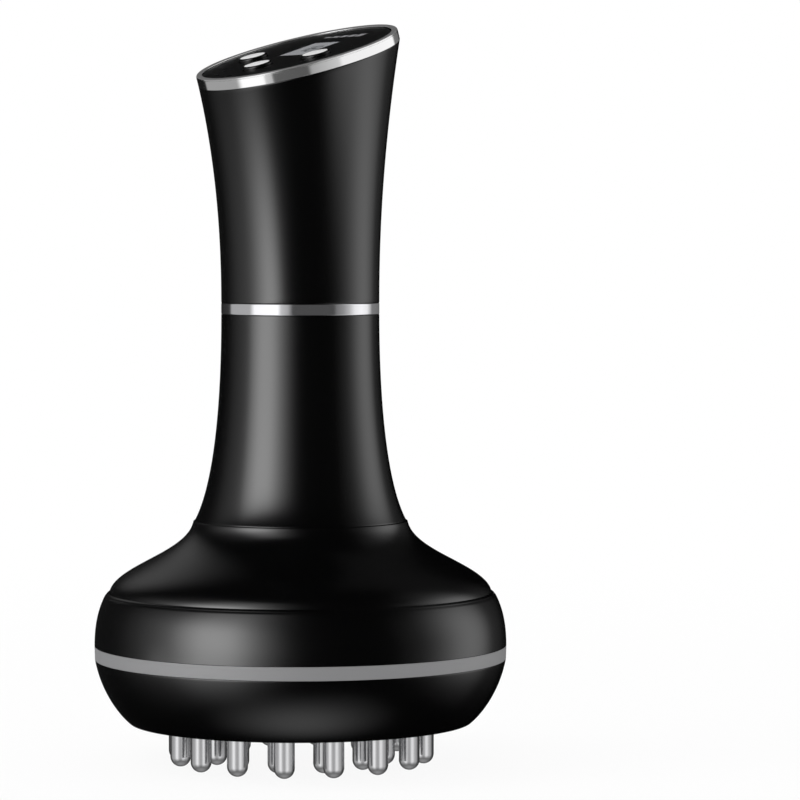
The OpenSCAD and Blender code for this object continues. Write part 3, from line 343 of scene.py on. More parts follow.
def grain(made, size, depth, roughness, stretch=(1, 1, 1)):
    """Fine relief and uneven gloss: noise of one size, that may be drawn out along an axis"""
    tree = made.node_tree
    shader = tree.nodes["Principled BSDF"]
    spot = tree.nodes.new("ShaderNodeTexCoord")
    drawn = tree.nodes.new("ShaderNodeMapping")
    drawn.inputs["Scale"].default_value = stretch
    tree.links.new(spot.outputs["Object"], drawn.inputs["Vector"])
    noise = tree.nodes.new("ShaderNodeTexNoise")
    noise.inputs["Scale"].default_value = 1 / size
    noise.inputs["Detail"].default_value = 4
    tree.links.new(drawn.outputs["Vector"], noise.inputs["Vector"])
    relief = tree.nodes.new("ShaderNodeBump")
    relief.inputs["Strength"].default_value = 1
    relief.inputs["Distance"].default_value = depth
    tree.links.new(noise.outputs["Fac"], relief.inputs["Height"])
    tree.links.new(relief.outputs["Normal"], shader.inputs["Normal"])
    gloss = tree.nodes.new("ShaderNodeMapRange")
    gloss.inputs["From Min"].default_value = 0.3
    gloss.inputs["From Max"].default_value = 0.7
    gloss.inputs["To Min"].default_value = roughness[0]
    gloss.inputs["To Max"].default_value = roughness[1]
    tree.links.new(noise.outputs["Fac"], gloss.inputs["Value"])
    tree.links.new(gloss.outputs["Result"], shader.inputs["Roughness"])
    return made


def alone():
    """Nothing stays selected, so that an operator acts on one piece only"""
    if bpy.context.object is not None and bpy.context.object.mode == "EDIT":
        bpy.ops.object.mode_set(mode="OBJECT")
    bpy.ops.object.select_all(action="DESELECT")


def soften(piece, width, angle=28, segments=3):
    """Rounds the sharp edges of a piece and shades it smoothly"""
    bpy.ops.object.modifier_add(type="BEVEL")
    edge = piece.modifiers[-1]
    edge.width = width
    edge.segments = segments
    edge.limit_method = "ANGLE"
    edge.angle_limit = radians(angle)
    edge.use_clamp_overlap = False
    bpy.ops.object.modifier_apply(modifier=edge.name)
    bpy.ops.object.shade_smooth()
    bpy.ops.object.modifier_add(type="WEIGHTED_NORMAL")
    bpy.ops.object.modifier_apply(modifier=piece.modifiers[-1].name)


def turned(name, outline, edge_width, around=192):
    """A closed outline of radius and height, spun round the axis, with its corners rounded"""
    alone()
    bpy.ops.mesh.primitive_plane_add(size=mm)
    piece = bpy.context.object
    piece.name = piece.data.name = name
    bpy.ops.object.mode_set(mode="EDIT")
    bpy.ops.mesh.merge(type="CENTER")
    bpy.ops.transform.translate(value=(outline[0][0], 0, outline[0][1]))
    for near, far in zip(outline, outline[1:] + outline[:1]):
        step = (far[0] - near[0], 0, far[1] - near[1])
        bpy.ops.mesh.extrude_vertices_move(TRANSFORM_OT_translate={"value": step})
    bpy.ops.mesh.select_all(action="SELECT")
    bpy.ops.mesh.spin(steps=around, angle=2 * pi, center=(0, 0, 0), axis=(0, 0, 1))
    bpy.ops.mesh.select_all(action="SELECT")
    bpy.ops.mesh.remove_doubles(threshold=0.002 * mm)
    bpy.ops.mesh.normals_make_consistent(inside=False)
    bpy.ops.object.mode_set(mode="OBJECT")
    soften(piece, edge_width)
    return piece


def arc(middle, radius, start, stop, steps):
    """Points along a round stretch of an outline, by angle in degrees"""
    spots = []
    for number in range(steps + 1):
        angle = radians(start + (stop - start) * number / steps)
        spots.append((middle[0] + radius * cos(angle), middle[1] + radius * sin(angle)))
    return spots


def copy_of(piece, name, turn=0.0):
    """A copy with a mesh of its own, turned round the axis"""
    twin = piece.copy()
    twin.data = piece.data.copy()
    twin.name = twin.data.name = name
    twin.data.transform(Matrix.Rotation(turn, 4, "Z"))
    bpy.context.collection.objects.link(twin)
    return twin


def fit(piece, material, body, slot, *nodes):
    """Gives a piece its finish and its place in the frame"""
    piece.data.materials.clear()
    piece.data.materials.append(material)
    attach(piece, body)
    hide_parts(*nodes)


pin_radius = 2.5 * mm
pin_shank_radius = 1.5 * mm
pin_root_groove = 0.2 * mm
pin_root_slope = 0.15 * mm
rivet_radius = 2.3 * mm
rivet_height = 1.2 * mm
rivet_taper = 0.5 * mm
underside_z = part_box("comb_plate")[0].z
rivet_top_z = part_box("outer_pins")[1].z
rivet_foot_z = rivet_top_z - rivet_height
steel = grain(
    finish("turned_steel", (0.6, 0.6, 0.61), 0.2, 1), 0.35 * mm, 0.002 * mm, (0.16, 0.24), (1, 1, 9))
pin_outline = arc((0, pin_radius), pin_radius, -90, 0, 12) + [
    (pin_radius, underside_z - pin_root_groove - pin_root_slope),
    (pin_radius - pin_root_groove, underside_z - pin_root_groove),
    (pin_radius - pin_root_groove, underside_z),
    (pin_shank_radius, underside_z),
    (pin_shank_radius, rivet_foot_z),
    (rivet_radius, rivet_foot_z),
    (rivet_radius - rivet_taper, rivet_top_z),
    (0, rivet_top_z)]
pin_rings = [("outer_pins", 16, 30 * mm, 0), ("inner_pins", 12, 21 * mm, radians(7.5))]
pin = turned("massage_pin", pin_outline, 0.08 * mm, around=48)
for ring_name, count, ring_radius, first_turn in pin_rings:
    for number in range(count):
        twin = copy_of(pin, f"{ring_name[:-1]}_{number + 1:02d}")
        twin.data.transform(Matrix.Translation((ring_radius, 0, 0)))
        twin.data.transform(Matrix.Rotation(first_turn + number * 2 * pi / count, 4, "Z"))
        fit(twin, steel, "housing", "pin", ring_name)
bpy.data.objects.remove(pin)


# Comb plate
# A black moulded disc, flush in the underside, that carries the pins. Four countersunk
# screws hold it, and two gilt contact rings lie on its back under the rivets.
def dress(node, material):
    """A piece of the frame keeps its shape and gets a finish"""
    for place in frame["nodes"][node].material_slots:
        place.material = material


black_plate = grain(
    finish("textured_black_plastic", (0.012, 0.012, 0.013), 0.45), 0.5 * mm, 0.012 * mm, (0.4, 0.5))
screw_steel = grain(
    finish("zinc_plated_steel", (0.6, 0.6, 0.6), 0.3, 1), 0.2 * mm, 0.003 * mm, (0.25, 0.4))
gilt = grain(
    finish("gilt_spring_metal", (0.75, 0.62, 0.35), 0.28, 1), 0.3 * mm, 0.002 * mm, (0.22, 0.35))
dress("comb_plate", black_plate)
dress("comb_plate_screws", screw_steel)
for node in ("outer_contact_ring", "inner_contact_ring", "contact_springs", "battery_contacts"):
    dress(node, gilt)

# Light behind the lens
# A dark red moulded window in the middle of the comb plate. Eight emitters of red resin stand
# on the board behind it.
lens_red = grain(
    finish("red_window_plastic", (0.32, 0.012, 0.014), 0.16), 1.2 * mm, 0.01 * mm, (0.12, 0.2))
lens_shader = lens_red.node_tree.nodes["Principled BSDF"]
lens_shader.inputs["Coat Weight"].default_value = 0.6
lens_shader.inputs["Transmission Weight"].default_value = 0.25
dress("light_lens", lens_red)
emitter_red = grain(
    finish("emitter_resin", (0.7, 0.09, 0.09), 0.12), 0.4 * mm, 0.002 * mm, (0.08, 0.16))
dress("light_emitters", emitter_red)


# Boards and small parts
# Three green circuit boards, their natural nylon plugs, zinc plated screws, and the small black
# mouldings: chips, switches and plungers, the display module, and the motor's cup and end cap.
def circuit_board(name, lacquer, copper):
    """Lacquered laminate with thin paler tracks"""
    made = grain(finish(name, lacquer, 0.3), 0.15 * mm, 0.001 * mm, (0.25, 0.4))
    tree = made.node_tree
    spot = tree.nodes.new("ShaderNodeTexCoord")
    tracks = tree.nodes.new("ShaderNodeTexBrick")
    tracks.inputs["Scale"].default_value = 1
    tracks.inputs["Brick Width"].default_value = 4.2 * mm
    tracks.inputs["Row Height"].default_value = 1.3 * mm
    tracks.inputs["Mortar Size"].default_value = 0.16 * mm
    tracks.inputs["Color1"].default_value = (*lacquer, 1)
    tracks.inputs["Color2"].default_value = (*(level * 0.9 for level in lacquer), 1)
    tracks.inputs["Mortar"].default_value = (*copper, 1)
    tree.links.new(spot.outputs["Object"], tracks.inputs["Vector"])
    tree.links.new(tracks.outputs["Color"], tree.nodes["Principled BSDF"].inputs["Base Color"])
    return made


green_board = circuit_board("green_circuit_board", (0.02, 0.14, 0.07), (0.12, 0.3, 0.12))
for node in ("light_board", "control_board", "charging_board"):
    dress(node, green_board)
nylon = grain(finish("natural_nylon", (0.78, 0.76, 0.68), 0.4), 0.3 * mm, 0.003 * mm, (0.36, 0.5))
for node in ("light_plug", "motor_plug", "charging_board_plug", "board_plugs", "battery_cradle"):
    dress(node, nylon)
for node in ("light_board_screws", "head_screws", "neck_screws", "cradle_screws",
             "charging_board_screws", "board_screws"):
    dress(node, screw_steel)
inner_black = grain(
    finish("moulded_black_plastic", (0.03, 0.03, 0.032), 0.5), 0.4 * mm, 0.006 * mm, (0.42, 0.56))
for node in ("board_chips", "switch_bodies", "left_plunger", "low_plunger", "right_plunger",
             "display_module", "socket_tongue", "motor_mount", "motor_end_cap"):
    dress(node, inner_black)

# Motor
# A round motor in a soft sleeve stands in a cup between the halves of the head. Its shaft
# comes out below and swings a brass half disc, which makes the head tremble.
soft_rubber = grain(
    finish("soft_black_rubber", (0.02, 0.02, 0.02), 0.75), 0.3 * mm, 0.01 * mm, (0.65, 0.85))
dress("motor_sleeve", soft_rubber)
can_metal = grain(
    finish("drawn_motor_can", (0.62, 0.62, 0.63), 0.25, 1),
    0.6 * mm, 0.002 * mm, (0.2, 0.36), (1, 1, 6))
for node in ("motor_can", "motor_shaft"):
    dress(node, can_metal)
ferrite = grain(
    finish("dark_ferrite", (0.06, 0.06, 0.062), 0.55, 0.4), 0.2 * mm, 0.004 * mm, (0.5, 0.65))
dress("motor_magnets", ferrite)
windings = grain(
    finish("copper_windings", (0.45, 0.17, 0.07), 0.35, 0.9),
    0.5 * mm, 0.05 * mm, (0.28, 0.45), (1, 1, 0.1))
dress("rotor_core", windings)
brass = grain(finish("cast_brass", (0.62, 0.47, 0.2), 0.32, 1), 0.5 * mm, 0.006 * mm, (0.26, 0.42))
dress("eccentric_weight", brass)

# Battery and leads
# A steel cell in a blue shrink sleeve lies in a nylon cradle inside the handle, and three thin
# insulated leads run from the control board to the motor, the light and the charging board.
sleeve_blue = grain(
    finish("blue_shrink_sleeve", (0.03, 0.13, 0.36), 0.25), 2.5 * mm, 0.02 * mm, (0.2, 0.32))
dress("battery_cell", sleeve_blue)
lead_colours = {
    "motor_cable": (0.35, 0.02, 0.02),
    "light_cable": (0.02, 0.02, 0.02),
    "power_cable": (0.5, 0.36, 0.03)}
for node, colour in lead_colours.items():
    dress(node, grain(finish(f"{node}_jacket", colour, 0.45), 0.3 * mm, 0.004 * mm, (0.4, 0.55)))

# Lower shell of the head
# A black moulded bowl. Its wall curves in under the head to the flat underside, where a ledge
# carries the comb plate.
shell_wall = 2.4 * mm
head_radius = 50 * mm
trim_foot_z, trim_top_z = (corner.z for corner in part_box("head_trim_band"))
trim_taper = 0.1 * mm
trim_foot_radius = head_radius - trim_taper
underside_radius = 41.5 * mm
plate_seat_radius = 40.2 * mm
plate_seat_z = underside_z + 3 * mm
ledge_radius = 33.6 * mm
ledge_top_z = plate_seat_z + 2.4 * mm
seam_edge = 0.22 * mm
black_shell = grain(
    finish("satin_black_plastic", (0.0011, 0.0011, 0.0012), 0.22), 0.25 * mm, 0.0003 * mm, (0.21, 0.23))


def bezier(first, second, third, fourth, steps):
    """A smooth curve of an outline, from its first point to its fourth"""
    spots = []
    for number in range(steps + 1):
        t = number / steps
        u = 1 - t
        spots.append(tuple(
            u ** 3 * a + 3 * u * u * t * b + 3 * u * t * t * c + t ** 3 * d
            for a, b, c, d in zip(first, second, third, fourth)))
    return spots


def inset(curve, depth):
    """The same curve moved square to itself, towards the axis"""
    moved = []
    last = len(curve) - 1
    for number, spot in enumerate(curve):
        run = Vector(curve[min(number + 1, last)]) - Vector(curve[max(number - 1, 0)])
        moved.append((spot[0] + depth * run.y / run.length, spot[1] - depth * run.x / run.length))
    return moved


bowl_height = trim_foot_z - underside_z
bowl_curve = bezier(
    (trim_foot_radius, trim_foot_z),
    (trim_foot_radius - 1.3 * mm, trim_foot_z - bowl_height * 0.46),
    (underside_radius + 3.3 * mm, underside_z + bowl_height * 0.175),
    (underside_radius, underside_z), 36)
bowl_inside = [spot for spot in inset(bowl_curve, shell_wall) if spot[1] > ledge_top_z]
bowl = turned("lower_head_bowl", bowl_curve + [
    (plate_seat_radius, underside_z),
    (plate_seat_radius, plate_seat_z),
    (ledge_radius, plate_seat_z),
    (ledge_radius, ledge_top_z),
    (bowl_inside[-1][0], ledge_top_z)] + bowl_inside[::-1], seam_edge)
fit(bowl, black_shell, "housing", "shell", "head_lower_shell")

# Trim band
# A matte silver grey ring, clamped between the two shells of the head and flush with both. It
# narrows a tenth of a millimetre towards its foot.
trim_paint = grain(
    finish("matte_silver_paint", (0.27, 0.27, 0.275), 0.55), 0.12 * mm, 0.002 * mm, (0.5, 0.62))
trim_bore_radius = head_radius - shell_wall
trim = turned("grey_trim_band", [
    (trim_foot_radius, trim_foot_z),
    (trim_bore_radius, trim_foot_z),
    (trim_bore_radius, trim_top_z),
    (head_radius, trim_top_z)], 0.15 * mm)
fit(trim, trim_paint, "housing", "trim", "head_trim_band")

# Upper shell of the head
# A black moulded band that leans in towards its top. The cover sinks into its seat there, and
# its rounded lip leaves a dark groove.
seam_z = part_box("head_upper_shell")[1].z
band_height = seam_z - trim_top_z
band_top_radius = 47 * mm
cover_edge_radius = 46.4 * mm
seat_lap = 1 * mm
seat_z = seam_z - 1.2 * mm
seat_foot_z = seat_z - 2 * mm
seat_bore_radius = cover_edge_radius - shell_wall - seat_lap
cover_socket_radius = cover_edge_radius + 0.2 * mm
band_curve = bezier(
    (band_top_radius, seam_z),
    (band_top_radius + 1.6 * mm, seam_z - band_height * 0.21),
    (head_radius, trim_top_z + band_height * 0.49),
    (head_radius, trim_top_z), 30)
band_lip_radius = 1 * mm
band_lip_depth = 0.7 * mm
band_lip = arc((band_top_radius - 0.72 * mm, seam_z - 0.96 * mm), band_lip_radius, 71, 20, 6)
band_outside = [spot for spot in band_curve if spot[1] < seam_z - band_lip_depth]
band_inside = [spot for spot in inset(band_curve, shell_wall) if trim_top_z < spot[1] < seat_foot_z]
band = turned("upper_head_band", band_lip + band_outside + [
    (head_radius - shell_wall, trim_top_z)] + band_inside[::-1] + [
    (band_inside[0][0], seat_foot_z),
    (seat_bore_radius, seat_foot_z),
    (seat_bore_radius, seat_z),
    (cover_socket_radius, seat_z),
    (cover_socket_radius, seam_z)], 0.08 * mm)
fit(band, black_shell, "housing", "shell", "head_upper_shell")

# Top cover
# The black shoulder of the head. It sweeps from the neck seam down to the seat in the upper
# shell, and its thick top carries the screws of the neck.
neck_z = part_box("head_top_cover")[1].z
cover_height = neck_z - seam_z
cover_top_radius = 26 * mm
neck_opening_radius = 15.5 * mm
flange_depth = 3 * mm
cover_curve = bezier(
    (cover_top_radius, neck_z),
    (cover_top_radius + 1.3 * mm, neck_z - cover_height * 0.455),
    (cover_edge_radius - 1.2 * mm, seam_z + cover_height * 0.36),
    (cover_edge_radius, seam_z), 48)
cover_inside = [spot for spot in inset(cover_curve, shell_wall) if spot[1] < neck_z - flange_depth]
cover = turned("head_shoulder_cover", cover_curve + [
    (cover_edge_radius, seat_z),
    (cover_edge_radius - shell_wall, seat_z)] + cover_inside[::-1] + [
    (cover_inside[0][0], neck_z - flange_depth),
    (neck_opening_radius, neck_z - flange_depth),
    (neck_opening_radius, neck_z)], 0.14 * mm)
fit(cover, black_shell, "housing", "shell", "head_top_cover")

# Lower handle
# A black moulded neck that widens smoothly towards the head. Its spigot goes up through the
# ring into the upper handle, and the back has a recess with a slot for the charging plug.
ring_foot_z, ring_top_z = (corner.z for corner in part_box("handle_ring"))
neck_height = ring_foot_z - neck_z
neck_foot_radius = 25.7 * mm
waist_radius = 19.15 * mm
spigot_radius = waist_radius - shell_wall
spigot_bore_radius = spigot_radius - 1.85 * mm
spigot_top_z = ring_foot_z + 9 * mm
spigot_foot_z = ring_foot_z - 3 * mm
neck_curve = bezier(
    (waist_radius, ring_foot_z),
    (waist_radius, ring_foot_z - neck_height * 0.42),
    (neck_foot_radius - 4.75 * mm, neck_z + neck_height * 0.178),
    (neck_foot_radius, neck_z), 64)
neck_inside = [
    spot for spot in inset(neck_curve, shell_wall)
    if neck_z + flange_depth < spot[1] < spigot_foot_z - 0.3 * mm]
neck = turned("lower_handle", neck_curve + [
    (neck_opening_radius, neck_z),
    (neck_opening_radius, neck_z + flange_depth),
    (neck_inside[-1][0], neck_z + flange_depth)] + neck_inside[::-1] + [
    (neck_inside[0][0], spigot_foot_z),
    (spigot_bore_radius, spigot_foot_z),
    (spigot_bore_radius, spigot_top_z),
    (spigot_radius, spigot_top_z),
    (spigot_radius, ring_foot_z)], seam_edge)

socket_z = (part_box("charging_socket")[0].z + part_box("charging_socket")[1].z) / 2
slot_size = (9.44 * mm, 3.76 * mm)
recess_size = (12.4 * mm, 6.6 * mm)
recess_floor_y = waist_radius - 1.1 * mm
inside_wall_y = spigot_bore_radius - 2 * mm
outside_wall_y = waist_radius + 4 * mm


def cut_away(piece, cutter):
    """Cuts one closed shape out of a piece"""
    alone()
    bpy.context.view_layer.objects.active = piece
    piece.select_set(True)
    bpy.ops.object.modifier_add(type="BOOLEAN")
    hole = piece.modifiers[-1]
    hole.operation = "DIFFERENCE"
    hole.solver = "EXACT"
    hole.object = cutter
    bpy.ops.object.modifier_apply(modifier=hole.name)
    bpy.data.objects.remove(cutter)


def cut_slot(piece, size, near_y, far_y):
    """Cuts a flat slot with round ends through a piece, along Y"""
    alone()
    bpy.ops.mesh.primitive_cylinder_add(
        vertices=64, radius=size[1] / 2, depth=far_y - near_y,
        location=(0, (near_y + far_y) / 2, socket_z), rotation=(radians(90), 0, 0))
    cutter = bpy.context.object
    bpy.ops.object.transform_apply(location=True, rotation=True, scale=True)
    half_run = (size[0] - size[1]) / 2
    for way in (-1, 1):
        for vertex in cutter.data.vertices:
            vertex.select = vertex.co.x * way > 0.001 * mm
        for face in cutter.data.polygons:
            face.select = False
        for edge in cutter.data.edges:
            edge.select = False
        bpy.ops.object.mode_set(mode="EDIT")
        bpy.ops.transform.translate(value=(way * half_run, 0, 0))
        bpy.ops.object.mode_set(mode="OBJECT")
    cut_away(piece, cutter)


def smooth_again(piece):
    """Evens out the shading of a piece after cuts, and keeps the cut edges sharp"""
    bpy.ops.mesh.customdata_custom_splitnormals_clear()
    bpy.ops.object.shade_smooth_by_angle(angle=radians(30))
    bpy.ops.object.modifier_add(type="WEIGHTED_NORMAL")
    piece.modifiers[-1].keep_sharp = True
    bpy.ops.object.modifier_apply(modifier=piece.modifiers[-1].name)


cut_slot(neck, slot_size, inside_wall_y, outside_wall_y)
cut_slot(neck, recess_size, recess_floor_y, outside_wall_y)
smooth_again(neck)
fit(neck, black_shell, "housing", "shell", "lower_handle_shell")
socket_metal = grain(
    finish("plated_socket_shell", (0.7, 0.7, 0.72), 0.2, 1), 0.3 * mm, 0.001 * mm, (0.15, 0.28))
dress("charging_socket", socket_metal)

# Handle ring
# A bright plated ring round the waist. It sits on the spigot of the lower handle, and the upper
# handle stands on it.
bright_plating = grain(
    finish("bright_plating", (0.8, 0.8, 0.82), 0.09, 1), 3 * mm, 0.0006 * mm, (0.06, 0.12))
ring_bore_radius = spigot_radius + 0.1 * mm
ring = turned("waist_ring", [
    (waist_radius, ring_foot_z),
    (ring_bore_radius, ring_foot_z),
    (ring_bore_radius, ring_top_z),
    (waist_radius, ring_top_z)], 0.2 * mm)
fit(ring, bright_plating, "housing", "ring", "handle_ring")

# Upper handle
# A black moulded tube that flares and leans a little towards the front. Its round sections
# tilt step by step, from level at the ring to the slant of the control panel at the top.
slope = radians(17)
upper_height = 58.1 * mm
flare = 5.85 * mm
flare_power = 2.1
lean = 0.3 * mm
upper_wall = 2.2 * mm
handle_sections = 48


def handle_section(t, depth):
    """Middle, radius and tilt of one section of the upper handle"""
    middle = Vector((0, -lean * t ** 3, ring_top_z + upper_height * t))
    return middle, waist_radius + flare * t ** flare_power - depth, slope * t


alone()
bpy.ops.mesh.primitive_circle_add(vertices=192, radius=waist_radius, fill_type="NOTHING")
upper_handle = bpy.context.object
upper_handle.name = upper_handle.data.name = "upper_handle"
bpy.ops.object.mode_set(mode="EDIT")
middle, radius, tilt = handle_section(0, 0)
bpy.ops.transform.translate(value=middle)
climb = [(step / handle_sections, 0) for step in range(1, handle_sections + 1)]
descent = [(step / handle_sections, upper_wall) for step in range(handle_sections, -1, -1)]
for t, depth in climb + descent:
    next_middle, next_radius, next_tilt = handle_section(t, depth)
    bpy.ops.mesh.extrude_region_move(TRANSFORM_OT_translate={"value": next_middle - middle})
    bpy.ops.transform.rotate(value=tilt - next_tilt, orient_axis="X", center_override=next_middle)
    bpy.ops.transform.resize(value=[next_radius / radius] * 3, center_override=next_middle)
    middle, radius, tilt = next_middle, next_radius, next_tilt
bpy.ops.mesh.select_all(action="DESELECT")
bpy.ops.mesh.select_non_manifold()
bpy.ops.mesh.bridge_edge_loops()
bpy.ops.mesh.select_all(action="SELECT")
bpy.ops.mesh.normals_make_consistent(inside=False)
bpy.ops.object.mode_set(mode="OBJECT")
soften(upper_handle, seam_edge)
fit(upper_handle, black_shell, "housing", "shell", "upper_handle_shell")

# Bezel
# A bright plated frame pressed into the top of the handle. Its rounded lip, dull on top, stands
# round the panel, which rests on the step inside.
panel_middle = Vector((0, -lean, ring_top_z + upper_height))
bezel_radius = waist_radius + flare
bezel_height = 2.7 * mm
lip_width = 1.5 * mm
panel_top = bezel_height - 0.4 * mm
panel_foot = panel_top - 1.6 * mm
fit_gap = 0.2 * mm
skirt_depth = 2.4 * mm
skirt_radius = (bezel_radius - upper_wall - fit_gap
                - skirt_depth * (sin(slope) + flare * flare_power / upper_height))
skirt_bore_radius = skirt_radius - 1.4 * mm


def set_on_slant(piece):
    """Turns and moves a level piece to the slanted top of the handle"""
    piece.data.transform(Matrix.Translation(panel_middle) @ Matrix.Rotation(slope, 4, "X"))


lip_foot = bezel_height - 0.6 * mm
lip_inset = 0.45 * mm
outer_round = 0.42 * mm
inner_round = 0.3 * mm
groove = 0.15 * mm
lip = arc((bezel_radius - lip_inset, bezel_height - outer_round), outer_round, 0, 90, 6) + arc(
    (bezel_radius - lip_width + inner_round, bezel_height - inner_round), inner_round, 90, 180, 4)
bezel = turned("panel_bezel_frame", [
    (bezel_radius, 0),
    (bezel_radius, lip_foot),
    (bezel_radius - groove, lip_foot),
    (bezel_radius - groove, lip_foot + groove)] + lip + [
    (bezel_radius - lip_width, panel_foot),
    (skirt_bore_radius, panel_foot),
    (skirt_bore_radius, -skirt_depth),
    (skirt_radius, -skirt_depth),
    (skirt_radius, 0)], 0.04 * mm)
set_on_slant(bezel)
panel_normal = Vector((0, -sin(slope), cos(slope)))


def above_slant(made, height, colours, roughnesses, metallics):
    """Two finishes on one piece: the second one lies above a height over the slant"""
    tree = made.node_tree
    shader = tree.nodes["Principled BSDF"]
    spot = tree.nodes.new("ShaderNodeTexCoord")
    rise = tree.nodes.new("ShaderNodeVectorMath")
    rise.operation = "DOT_PRODUCT"
    rise.inputs[1].default_value = panel_normal
    tree.links.new(spot.outputs["Object"], rise.inputs[0])
    share = tree.nodes.new("ShaderNodeMapRange")
    edge = panel_normal.dot(panel_middle) + height
    share.inputs["From Min"].default_value = edge - 0.01 * mm
    share.inputs["From Max"].default_value = edge + 0.01 * mm
    tree.links.new(rise.outputs["Value"], share.inputs["Value"])
    colour = tree.nodes.new("ShaderNodeMix")
    colour.data_type = "RGBA"
    for socket, level in zip(("A", "B"), colours):
        colour.inputs[socket].default_value = (level, level, level, 1)
    tree.links.new(share.outputs["Result"], colour.inputs["Factor"])
    tree.links.new(colour.outputs["Result"], shader.inputs["Base Color"])
    for name, levels in (("Roughness", roughnesses), ("Metallic", metallics)):
        blend = tree.nodes.new("ShaderNodeMapRange")
        blend.inputs["To Min"].default_value, blend.inputs["To Max"].default_value = levels
        tree.links.new(share.outputs["Result"], blend.inputs["Value"])
        tree.links.new(blend.outputs["Result"], shader.inputs[name])
    return made


dull_foot = bezel_height - 0.2 * mm
bezel_plating = above_slant(
    grain(finish("bezel_plating", (0.8, 0.8, 0.8), 0.1, 1), 3 * mm, 0.0006 * mm, (0.06, 0.12)),
    dull_foot, (0.8, 0.2), (0.09, 0.5), (1, 0.2))
fit(bezel, bezel_plating, "housing", "bezel", "panel_bezel")

# Control panel
# A glossy black disc inside the lip, with three round holes for the buttons and a pocket for
# the display's window. It rests on the bezel's step.
panel_black = grain(
    finish("black_panel_lacquer", (0.0065, 0.0065, 0.007), 0.3), 6 * mm, 0.0005 * mm, (0.27, 0.33))
panel_radius = bezel_radius - lip_width - fit_gap
button_radius = 3.6 * mm
button_hole_radius = button_radius + 0.15 * mm
hole_cutter_length = 6 * mm
button_spots = {"left": (-12.4 * mm, -4 * mm), "low": (0, -12.4 * mm), "right": (12.4 * mm, -4 * mm)}
display_size = (10 * mm, 12 * mm)
display_y = 4 * mm
window_thickness = 1 * mm
panel = turned("control_panel_disc", [
    (0, panel_foot), (panel_radius, panel_foot), (panel_radius, panel_top), (0, panel_top)], 0.15 * mm)


def block(size, middle):
    """A plain box"""
    alone()
    bpy.ops.mesh.primitive_cube_add(size=1, location=middle)
    piece = bpy.context.object
    piece.scale = size
    bpy.ops.object.transform_apply(location=True, rotation=True, scale=True)
    return piece


for spot in button_spots.values():
    alone()
    bpy.ops.mesh.primitive_cylinder_add(
        vertices=96, radius=button_hole_radius, depth=hole_cutter_length,
        location=(*spot, panel_foot))
    cut_away(panel, bpy.context.object)
cut_away(panel, block((*display_size, 2 * window_thickness), (0, display_y, panel_top)))
smooth_again(panel)
set_on_slant(panel)
fit(panel, panel_black, "housing", "panel", "control_panel")

# Display
# A smoked grey window flush with the panel, stepped down inside its border, with two plain dark
# numerals on it.
display_grey = grain(
    finish("display_window_grey", (0.45, 0.46, 0.48), 0.2), 2 * mm, 0.0005 * mm, (0.16, 0.24))
display_ink = grain(
    finish("display_ink", (0.02, 0.02, 0.024), 0.3), 0.4 * mm, 0.0005 * mm, (0.26, 0.36))
window_clearance = 0.1 * mm
window_border = 0.6 * mm
window_step = 0.06 * mm
window = block(
    (display_size[0] - window_clearance, display_size[1] - window_clearance, window_thickness),
    (0, display_y, panel_top - window_thickness / 2))
window.name = window.data.name = "display_window"
for face in window.data.polygons:
    face.select = face.normal.z > 0.5
bpy.ops.object.mode_set(mode="EDIT")
bpy.ops.mesh.select_mode(type="FACE")
bpy.ops.mesh.inset(thickness=window_border)
bpy.ops.mesh.inset(thickness=window_step, depth=-window_step)
bpy.ops.mesh.select_mode(type="VERT")
bpy.ops.object.mode_set(mode="OBJECT")
soften(window, 0.03 * mm)
set_on_slant(window)
fit(window, display_grey, "housing", "display", "display_lens")

segment_length = 2.3 * mm
segment_width = 0.42 * mm
ink_thickness = 0.03 * mm
numeral_gap = 3.6 * mm
segment_places = {
    "top": (0, 1, 0), "middle": (0, 0, 0), "foot": (0, -1, 0),
    "upper_left": (-0.5, 0.5, 90), "upper_right": (0.5, 0.5, 90),
    "lower_left": (-0.5, -0.5, 90), "lower_right": (0.5, -0.5, 90)}
numerals = {
    "one": ("upper_right", "lower_right"),
    "eight": ("top", "upper_left", "upper_right", "middle", "lower_left", "lower_right", "foot")}
alone()
bpy.ops.mesh.primitive_circle_add(
    vertices=6, radius=segment_width / 2, fill_type="NGON", rotation=(0, 0, radians(30)))
segment = bpy.context.object
bpy.ops.object.transform_apply(location=True, rotation=True, scale=True)
stretch = segment_length / 2 - segment_width * 0.6
for vertex in segment.data.vertices:
    vertex.co.x += stretch if vertex.co.x > 0 else -stretch
bpy.ops.object.mode_set(mode="EDIT")
bpy.ops.mesh.select_all(action="SELECT")
bpy.ops.mesh.extrude_region_move(TRANSFORM_OT_translate={"value": (0, 0, ink_thickness)})
bpy.ops.mesh.select_all(action="SELECT")
bpy.ops.mesh.normals_make_consistent(inside=False)
bpy.ops.object.mode_set(mode="OBJECT")


def joined(pieces, name):
    """Several pieces made into one"""
    alone()
    for piece in pieces:
        piece.select_set(True)
    bpy.context.view_layer.objects.active = pieces[0]
    bpy.ops.object.join()
    pieces[0].name = pieces[0].data.name = name
    return pieces[0]


for (numeral, parts), x in zip(numerals.items(), (-numeral_gap / 2, numeral_gap / 2)):
    strokes = []
    for part in parts:
        across, up, turn_degrees = segment_places[part]
        stroke = copy_of(segment, f"{numeral}_{part}", radians(turn_degrees))
        stroke.data.transform(Matrix.Translation(
            (x + across * segment_length, display_y + up * segment_length, panel_top - window_step)))
        strokes.append(stroke)
    figure = joined(strokes, f"numeral_{numeral}")
    set_on_slant(figure)
    fit(figure, display_ink, "housing", "display")
bpy.data.objects.remove(segment)

